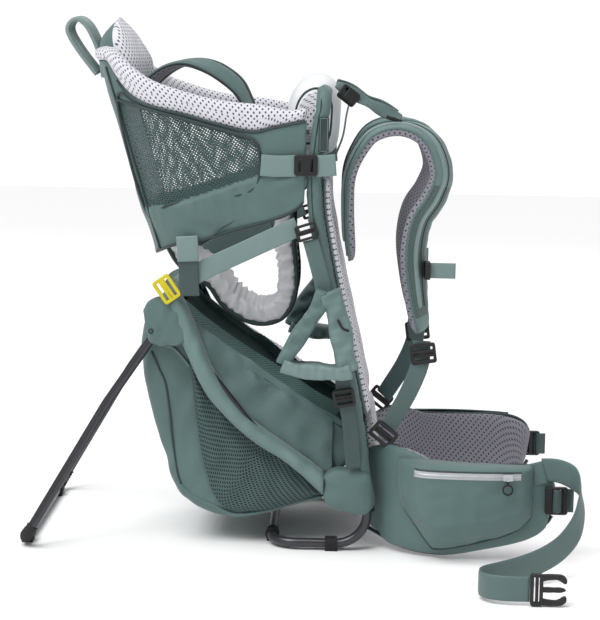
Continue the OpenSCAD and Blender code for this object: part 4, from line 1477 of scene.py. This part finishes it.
def pocket():
    xs = np.linspace(140, 306, 70)
    rows = np.linspace(0, 1, 44)
    points = np.zeros((70, 44, 3))
    for i, x in enumerate(xs):
        top = np.interp(x, pocket_top[:, 0], pocket_top[:, 1])
        base = np.interp(x, pocket_base[:, 0], pocket_base[:, 1])
        front = np.interp(x, pocket_front[:, 0], pocket_front[:, 1])
        behind = fin_y(x) - 8.5
        full = np.minimum(1, rows / 0.3) ** 0.6
        full = full * np.clip((1 - rows) / 0.06, 0, 1) ** 0.45
        points[i, :, 0] = x
        points[i, :, 1] = behind + (front - behind) * full
        points[i, :, 2] = base + (top - base) * rows
    flat = points.reshape(-1, 3)
    below = np.clip((106 - flat[:, 2]) / 12, 0, 1)
    flat[:, 1] -= (0.9 * ripple(flat, 60, 81) + 0.6 * ripple(flat, 24, 82)) * below
    shell = grid("pocket", flat.reshape(points.shape), [GREEN])
    thicken(shell, 1.6, 0)
    line = np.stack([np.linspace(158, 291, 90), np.zeros(90), np.full(90, 114.0)], 1)
    line[:, 1] = np.interp(line[:, 0], pocket_front[:, 0], pocket_front[:, 1]) - 0.9
    tape = sweep("tape", line, [0, 0, 1], strap_section(9, 1.2), [ZIP_TAPE])
    teeth = sweep("teeth", line - [0, 0.9, 0], [0, 0, 1], zip_teeth, [ZIP_METAL])
    welt = tube("welt", line + [0, -0.6, 5.6], 1.1, [GREEN_DARK], 8)
    hem_line = np.stack([xs[3:], np.interp(xs[3:], pocket_front[:, 0], pocket_front[:, 1]) * 0.2
                         + (fin_y(xs[3:]) - 8.5) * 0.8, np.interp(xs[3:], pocket_base[:, 0],
                                                                 pocket_base[:, 1]) + 1.0], 1)
    seam = tube("seam", hem_line, 1.5, [BINDING], 8)
    return join("hip_pocket_shell_right", [shell, tape, teeth, welt, seam])


def zip_teeth(f):
    tooth = 1.0 if int(f * 132) % 2 else 0.72
    a = np.arange(8) * math.pi / 4
    return np.stack([np.cos(a) * 1.7 * tooth, np.sin(a) * 0.9], 1)


ZIP_TAPE = webbing("zip_tape", rgb(196, 199, 203), rib=0.9, slant=0.0)
ZIP_METAL = metal("zip_teeth", rgb(190, 193, 197), 0.35, 0.6)
pocket_right = pocket()
pocket_left = mirrored(pocket_right, "hip_pocket_shell_left")
for piece, label in ((pocket_right, "right"), (pocket_left, "left")):
    put(piece, "fin_" + label, ["hip_pocket_" + label])
for label in ("right", "left"):
    finish_node("zip_slider_" + label, ZIP_METAL)
    finish_node("zip_pull_" + label, BLACK)


# ---------------------------------------------------------------- shoulder harness

SHOULDER = [[73, -86, 372, 3], [69, -88, 440, 3], [71, -90, 482, 4], [87, -92, 518, 5],
            [104, -93, 534, 3], [130, -93, 540, 3], [156, -93, 535, 10], [176, -93, 518, 18],
            [187, -93, 484, 22], [178, -93, 452, 26], [161, -93, 424, 26], [154, -93, 388, 26],
            [156, -93, 350, 26], [160, -93, 314, 24], [166, -93, 280, 20]]


def shoulder_frame():
    rows = curve(SHOULDER, 4)
    path = rows[:, :3]
    tangent = unit(np.gradient(path, axis=0))
    tilt = np.radians(rows[:, 3:4])
    normal = unit(np.cross(tangent, [0, 1, 0]))
    wide = np.array([0, 1, 0]) * np.cos(tilt) + normal * np.sin(tilt)
    wide = unit(wide - (wide * tangent).sum(1, keepdims=True) * tangent)
    return path, wide, np.cross(tangent, wide)


# The channel's cloth is the green cloth lighter still: painted light along the top of the shoulder
# pads.
STRAP_CHANNEL_PAINTED_LIT = fabric("strap_channel_painted_lit", rgb(124, 147, 146), crease=0.2)


def shoulder_pad():
    path, wide, out = shoulder_frame()
    count = len(path)
    width = lambda f: 60 - 8 * math.exp(-(f / 0.08) ** 2) - 18 * max(0, f - 0.84) / 0.16
    thick = lambda f: 12.5 + 3.5 * min(1, max(0, (f - 0.26) / 0.1))
    ribbed = lambda x, f: 0.3 * np.sin(f * 150) * (np.abs(x) > 0.82)
    # Upper side: green cloth with painted light, with a patch of perforated green mesh; underside:
    # spacer mesh with painted shade.
    pad = sweep("shoulder", path, wide,
                pad_section(width, thick, 22, 5.0, 0.45, top=ribbed, ends=0.04),
                [GREEN_PAINTED_LIT, MESH_PAINTED_SHADE, MESH_GREEN],
                pick=lambda i, j, n, m: (1 if j > m // 2 - 2 else
                                         2 if 0.6 * n < i < 0.95 * n and 0 < j < 15 else 0))
    low, high = 6, count - 8
    side_w = np.array([width(k / (count - 1)) / 2 for k in range(count)])[:, None]
    channel = path + out * 8.2 - wide * side_w * 0.42
    seam = path + out * 8.3 + wide * side_w * 0.15
    parts = [pad,
             sweep("channel", channel[low:high], wide[low:high],
                   pad_section(11, 4.4, 8, 2.4, 0.15, ends=0.04), [STRAP_CHANNEL_PAINTED_LIT]),
             tube("seam", seam[low:high], 0.9, [BINDING], 6)]
    for k in (-1, 1):
        parts.append(tube("edge", path + wide * side_w * k * 0.985 + out * 3.0, 1.7, [GREEN], 8))
    return join("shoulder_cushion_right", parts)


shoulder_right = shoulder_pad()
shoulder_left = mirrored(shoulder_right, "shoulder_cushion_left")
for piece, label in ((shoulder_right, "right"), (shoulder_left, "left")):
    put(piece, "harness", ["shoulder_pad_" + label])


# ---------------------------------------------------------------- webbing

def pair(make, name, body, replaces=()):
    """A piece for each side, joined into one."""
    right = make()
    left = mirrored(right, name + "_left")
    return put(join(name, [right, left]), body, replaces)


def side_strap(line, width, y, thick=2.2, material=None):
    """Webbing flat against the side."""
    rows = curve([[x, -y, z] for x, z in line], 3)
    tangent = unit(np.gradient(rows, axis=0))
    wide = np.cross(tangent, [0, 1, 0])
    rows = rows + np.array([0, 1, 0]) * (0.5 * ripple(rows, 40, 101))[:, None]
    return sweep("strap", rows, wide, strap_section(width, thick), [material or WEB])


def cross_strap(line, width, thick=2.0, material=None):
    rows = curve(line, 3)
    return sweep("strap", rows, [0, 1, 0], strap_section(width, thick), [material or WEB])


def seat_webbing():
    return join("w", [
        side_strap([[-142, 340], [-117, 358], [-54, 389], [6, 418]], 25, 154, material=WEB_LIGHT),
        side_strap([[-133, 400], [-131, 370], [-129, 328]], 25, 159, material=WEB_DARK),
        side_strap([[-133, 404], [-132, 390], [-131, 372]], 27, 161.5, material=WEB_LIGHT),
        side_strap([[-42, 494], [-20, 493], [2, 494]], 27, 155, 2.6, WEB_LIGHT),
        side_strap([[27, 494], [40, 495], [52, 496]], 27, 155, 2.6, WEB_LIGHT)])


pair(seat_webbing, "seat_webbing", "pack", ["seat_straps"])


def stirrup_webbing():
    return join("w", [side_strap([[22, 402], [32, 368], [42, 330]], 20, 158),
                      side_strap([[66, 234], [68, 208], [76, 172], [82, 112]], 20, 161,
                                 material=WEB_DARK)])


pair(stirrup_webbing, "stirrup_webbing", "pack", ["stirrup_straps"])


def stirrup_piece():
    """A folded cloth loop: two arms and a wider tread."""
    def arm(line, width, material, seed, deep=30):
        rows = curve(side(line, -171), 3)
        wide = np.cross(unit(np.gradient(rows, axis=0)), [0, 1, 0])
        rough = lambda x, f: 1.5 * np.sin(f * 23 + seed + 2.5 * x) + 0.8 * np.sin(f * 51 + seed)
        w = lambda f: width * (1 + 0.10 * math.sin(f * 11 + seed))
        return sweep("arm", rows, wide, pad_section(w, deep, 10, 5.0, 0.6, top=rough, under=rough),
                     [material])
    arms = [arm([[41, 338], [32, 316], [14, 288], [-4, 258], [-9, 247]], 20, GREEN, 1),
            arm([[47, 338], [56, 314], [63, 284], [68, 256], [72, 240]], 27, GREEN_PAINTED_LIT, 2, 32),
            arm([[-10, 246], [8, 240], [34, 238], [60, 237], [76, 240]], 19, WEB_LIGHT, 3, 34)]
    loop = [[58, -189, 306], [64, -191, 296], [72, -189, 292]]
    return join("stirrup_cloth", arms + [tube("l", curve(loop, 2), 1.6, [BLACK], 8)])


stirrup_right = stirrup_piece()
stirrup_right.name = "stirrup_cloth_right"
stirrup_left = mirrored(stirrup_right, "stirrup_cloth_left")
for piece, label in ((stirrup_right, "right"), (stirrup_left, "left")):
    put(piece, "pack", ["stirrup_" + label])


def twisted_strap(rows, width, thick=2.2, material=None):
    """Webbing through [x, y, z, turn]: 0 lies across the pack, 90 faces the side."""
    rows = curve(rows, 3)
    path = rows[:, :3]
    tangent = unit(np.gradient(path, axis=0))
    turn = np.radians(rows[:, 3:4])
    wide = np.array([0, 1, 0]) * np.cos(turn) + unit(np.cross(tangent, [0, 1, 0])) * np.sin(turn)
    return sweep("strap", path, wide, strap_section(width, thick), [material or WEB])


LOWER_STRAP = [[167, -97, 268, 70], [165, -101, 238, 76], [152, -108, 204, 72],
               [133, -118, 170, 66], [124, -123, 155, 60]]
LIFTER = [[50, -100, 595, 20], [70, -99, 584, 58], [92, -98, 572, 30], [112, -96, 562, 62],
          [134, -94, 553, 24]]
for s, label in ((1, "right"), (-1, "left")):
    low_strap = twisted_strap(LOWER_STRAP, 25)
    lifter = twisted_strap(LIFTER, 19, 2.6)
    if s < 0:
        old = low_strap, lifter
        low_strap, lifter = mirrored(low_strap, "a"), mirrored(lifter, "b")
        for o in old:
            bpy.data.objects.remove(o)
    low_strap.name, lifter.name = "harness_webbing_" + label, "load_lifter_webbing_" + label
    for piece, node, start, end in (
            (low_strap, "harness_lower_straps", (0.1255, -0.12 * s, 0.157),
             (0.1665, -0.094 * s, 0.262)),
            (lifter, "load_lifter_straps", (0.056, -0.1 * s, 0.592), (0.118, -0.095 * s, 0.561))):
        if s > 0:
            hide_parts(node)
        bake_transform(piece)


# ---------------------------------------------------------------- locks and buckles

def lock(at, along, across, width, length, thick=5, material=None):
    """Ladder lock: a frame with two slots and a ribbed bar. at is the middle of its underside."""
    material = material or BLACK
    along, across = unit(np.asarray(along, float)), unit(np.asarray(across, float))
    up = np.cross(along, across)
    half, tall = length / 2, width / 2 + 4
    loops = [box_loop(-half, -tall, half, tall, 3)]
    loops += [box_loop(x - 2.5, -width / 2, x + 2.5, width / 2, 1.2)[::-1]
              for x in (-length / 4, length / 4)]
    middle = np.asarray(at, float) + up * thick / 2
    parts = [plate("l", loops, thick, material, middle, along, across, 0.8)]
    for k in (-1.2, 0, 1.2):
        line = [middle + along * k + across * y + up * (thick / 2) for y in
                (-width / 2, 0, width / 2)]
        parts.append(tube("rib", line, 0.45, [material], 6))
    return join("lock", parts)


def side_lock(x, y, z, degrees, width, length, material=None):
    a = math.radians(degrees)
    return lock([x, -y, z], [math.cos(a), 0, -math.sin(a)], [math.sin(a), 0, math.cos(a)], width,
                length, material=material)


pair(lambda: side_lock(-158, 154.5, 336, -35, 25, 24, YELLOW), "yellow_strap_locks", "pack",
     ["yellow_ladder_locks"])
pair(lambda: join("b", [side_lock(17, 157, 412, 72, 20, 20), side_lock(68, 163, 203, 80, 20, 22)]),
     "stirrup_strap_locks", "pack", ["stirrup_buckles"])


def entry_buckle():
    loops = [box_loop(0, -13, 29, 13, 3), box_loop(5, -8, 9, 8, 1)[::-1],
             box_loop(20, -8, 24, 8, 1)[::-1]]
    return plate("e", loops, 8, BLACK, [0, -156, 495], [1, 0, 0], [0, 0, 1], 1.0)


pair(entry_buckle, "side_entry_clasps", "pack", ["side_entry_buckles"])
pair(lambda: lock([124, -95, 550.5], [math.cos(0.28), 0, -math.sin(0.28)], [0, 1, 0], 20, 20, 4),
     "load_lifter_locks", "harness", ["load_lifter_buckles"])
pair(lambda: side_lock(169, 101, 252, 82, 25, 26),
     "harness_strap_locks", "harness", ["harness_ladder_locks"])


def adjuster():
    return lock([120, -127, 151], [0.62, -0.12, 0.78], [-0.78, 0.05, 0.62], 25, 24)


pair(adjuster, "belt_strap_adjusters", "pack", ["belt_adjusters"])


def chin_buckle():
    at, along = np.array([66, -104, 581.0]), unit(np.array([0.8, 0, -0.6]))
    return plate("c", [box_loop(-13, -9, 13, 9, 3), box_loop(-9, -6, -4, 6, 1)[::-1]], 9, BLACK,
                 at, along, [0.5, 0.5, 0.7], 1.0)


pair(chin_buckle, "chin_strap_buckles", "pack")


def sternum_parts(reach):
    clip = plate("c", [box_loop(-11, -13, 11, 13, 3), box_loop(-6, -9, 6, -4, 1)[::-1]], 7, BLACK,
                 [172, -93, 359], [0, 0, 1], [0, 1, 0], 1.0)
    tab = side_strap([[174, 359], [(174 + reach) / 2, 359], [reach, 359]], 20, 94, 4.0, WEB_LIGHT)
    return join("sternum_clip_right", [clip, tab])


sternum_right = sternum_parts(208)
short = sternum_parts(181)
sternum_left = mirrored(short, "sternum_clip_left")
bpy.data.objects.remove(short)
for piece, label in ((sternum_right, "right"), (sternum_left, "left")):
    put(piece, "sternum_" + label, ["sternum_slider_" + label])


def belt_lock():
    loops = [box_loop(-16, -17.5, 12, 17.5, 3), box_loop(-8, -15, -3, 15, 1)[::-1],
             box_loop(1, -15, 7, 15, 1)[::-1]]
    return plate("hip_strap_lock_right", loops, 7, BLACK, [340, -180, 80], [1, 0, 0], [0, 0, 1],
                 1.0)


lock_right = belt_lock()
lock_left = mirrored(lock_right, "hip_strap_lock_left")
for piece, label in ((lock_right, "right"), (lock_left, "left")):
    put(piece, "fin_" + label, ["hip_ladder_lock_" + label])


# Webbing through the belt locks; on the right also the stub that the free webbing comes out of

def lock_webbing():
    line = curve([[306, -174, 80], [320, -175, 80], [330, -177, 80], [339, -186, 80],
                  [348, -177, 80], [360, -178, 80]], 3)
    return sweep("hip_lock_webbing_right", line, [0, 0, 1], strap_section(HIP_WEB, 1.8), [WEB_DARK])


web_right = lock_webbing()
web_left = mirrored(web_right, "hip_lock_webbing_left")
stub = sweep("s", curve([[292, -175, 108], [306, -178, 112], [322, -181, 117]], 3), [0, 0, 1],
             strap_section(29, 2.4), [WEB])
put(join("hip_lock_webbing_right", [web_right, stub]), "fin_right")
put(web_left, "fin_left")


# Blank patch at the top of the sleeve

def patch():
    body = box_uv(plate("p", [box_loop(30, 511, 42, 555, 1.5)], 1.6, BINDING, [0, -152.4, 0],
                        [1, 0, 0], [0, 0, 1], 0.5))
    loop = np.array([[x, -153.4, z] for x, z in box_loop(31.5, 512.5, 40.5, 553.5, 1)])
    stitches = tube("st", np.vstack([loop, loop[:1]]), 0.35, [WEB_LIGHT], 6)
    return join("blank_patch", [body, stitches])


put(patch(), "pack", ["blank_label"])

haul = cross_strap([[68, 0, 571], [64, 0, 553], [60, 0, 526], [52, 0, 503]], 24, 2.4, WEB_LIGHT)
haul.name = "haul_loop"
put(haul, "pack")
# ---------------------------------------------------------------- studio

def studio():
    floor = mesh("floor", [[-6000, -6000, -0.2], [6000, -6000, -0.2], [6000, 6000, -0.2],
                           [-6000, 6000, -0.2]], [[0, 1, 2, 3]])
    f = Finish("floor", 0.8)
    f.colour(f.shade(rgb(250, 250, 250), f.spread(f.noise(3, 2), 0.985, 1.0)))
    floor.data.materials.append(f.m)
    world = bpy.data.worlds.new("studio")
    world.use_nodes = True
    background = world.node_tree.nodes["Background"]
    background.inputs[0].default_value = (1, 1, 1, 1)
    seen = world.node_tree.nodes.new("ShaderNodeLightPath")
    strength = world.node_tree.nodes.new("ShaderNodeMapRange")
    world.node_tree.links.new(seen.outputs["Is Camera Ray"], strength.inputs["Value"])
    strength.inputs["To Min"].default_value = 0.36
    strength.inputs["To Max"].default_value = 1.05
    world.node_tree.links.new(strength.outputs["Result"], background.inputs[1])
    scene.world = world
    for name, at, size, power in (
            ("key", (-1.6, -2.2, 2.6), 1.4, 34), ("fill", (2.4, -1.8, 1.2), 2.0, 9),
            ("back", (0.8, 2.4, 2.2), 1.8, 16), ("sun", (-0.9, -0.7, 3.0), 0, 2.3)):
        lamp = bpy.data.lights.new(name, "AREA" if size else "SUN")
        lamp.energy = power
        if size:
            lamp.size = size
        else:
            lamp.angle = math.radians(50)
        holder = bpy.data.objects.new(name, lamp)
        scene.collection.objects.link(holder)
        holder.location = at
        aim = Vector((0, 0, 0.33)) - Vector(at)
        holder.rotation_euler = aim.to_track_quat("-Z", "Y").to_euler()
    scene.view_settings.view_transform = "Standard"


studio()
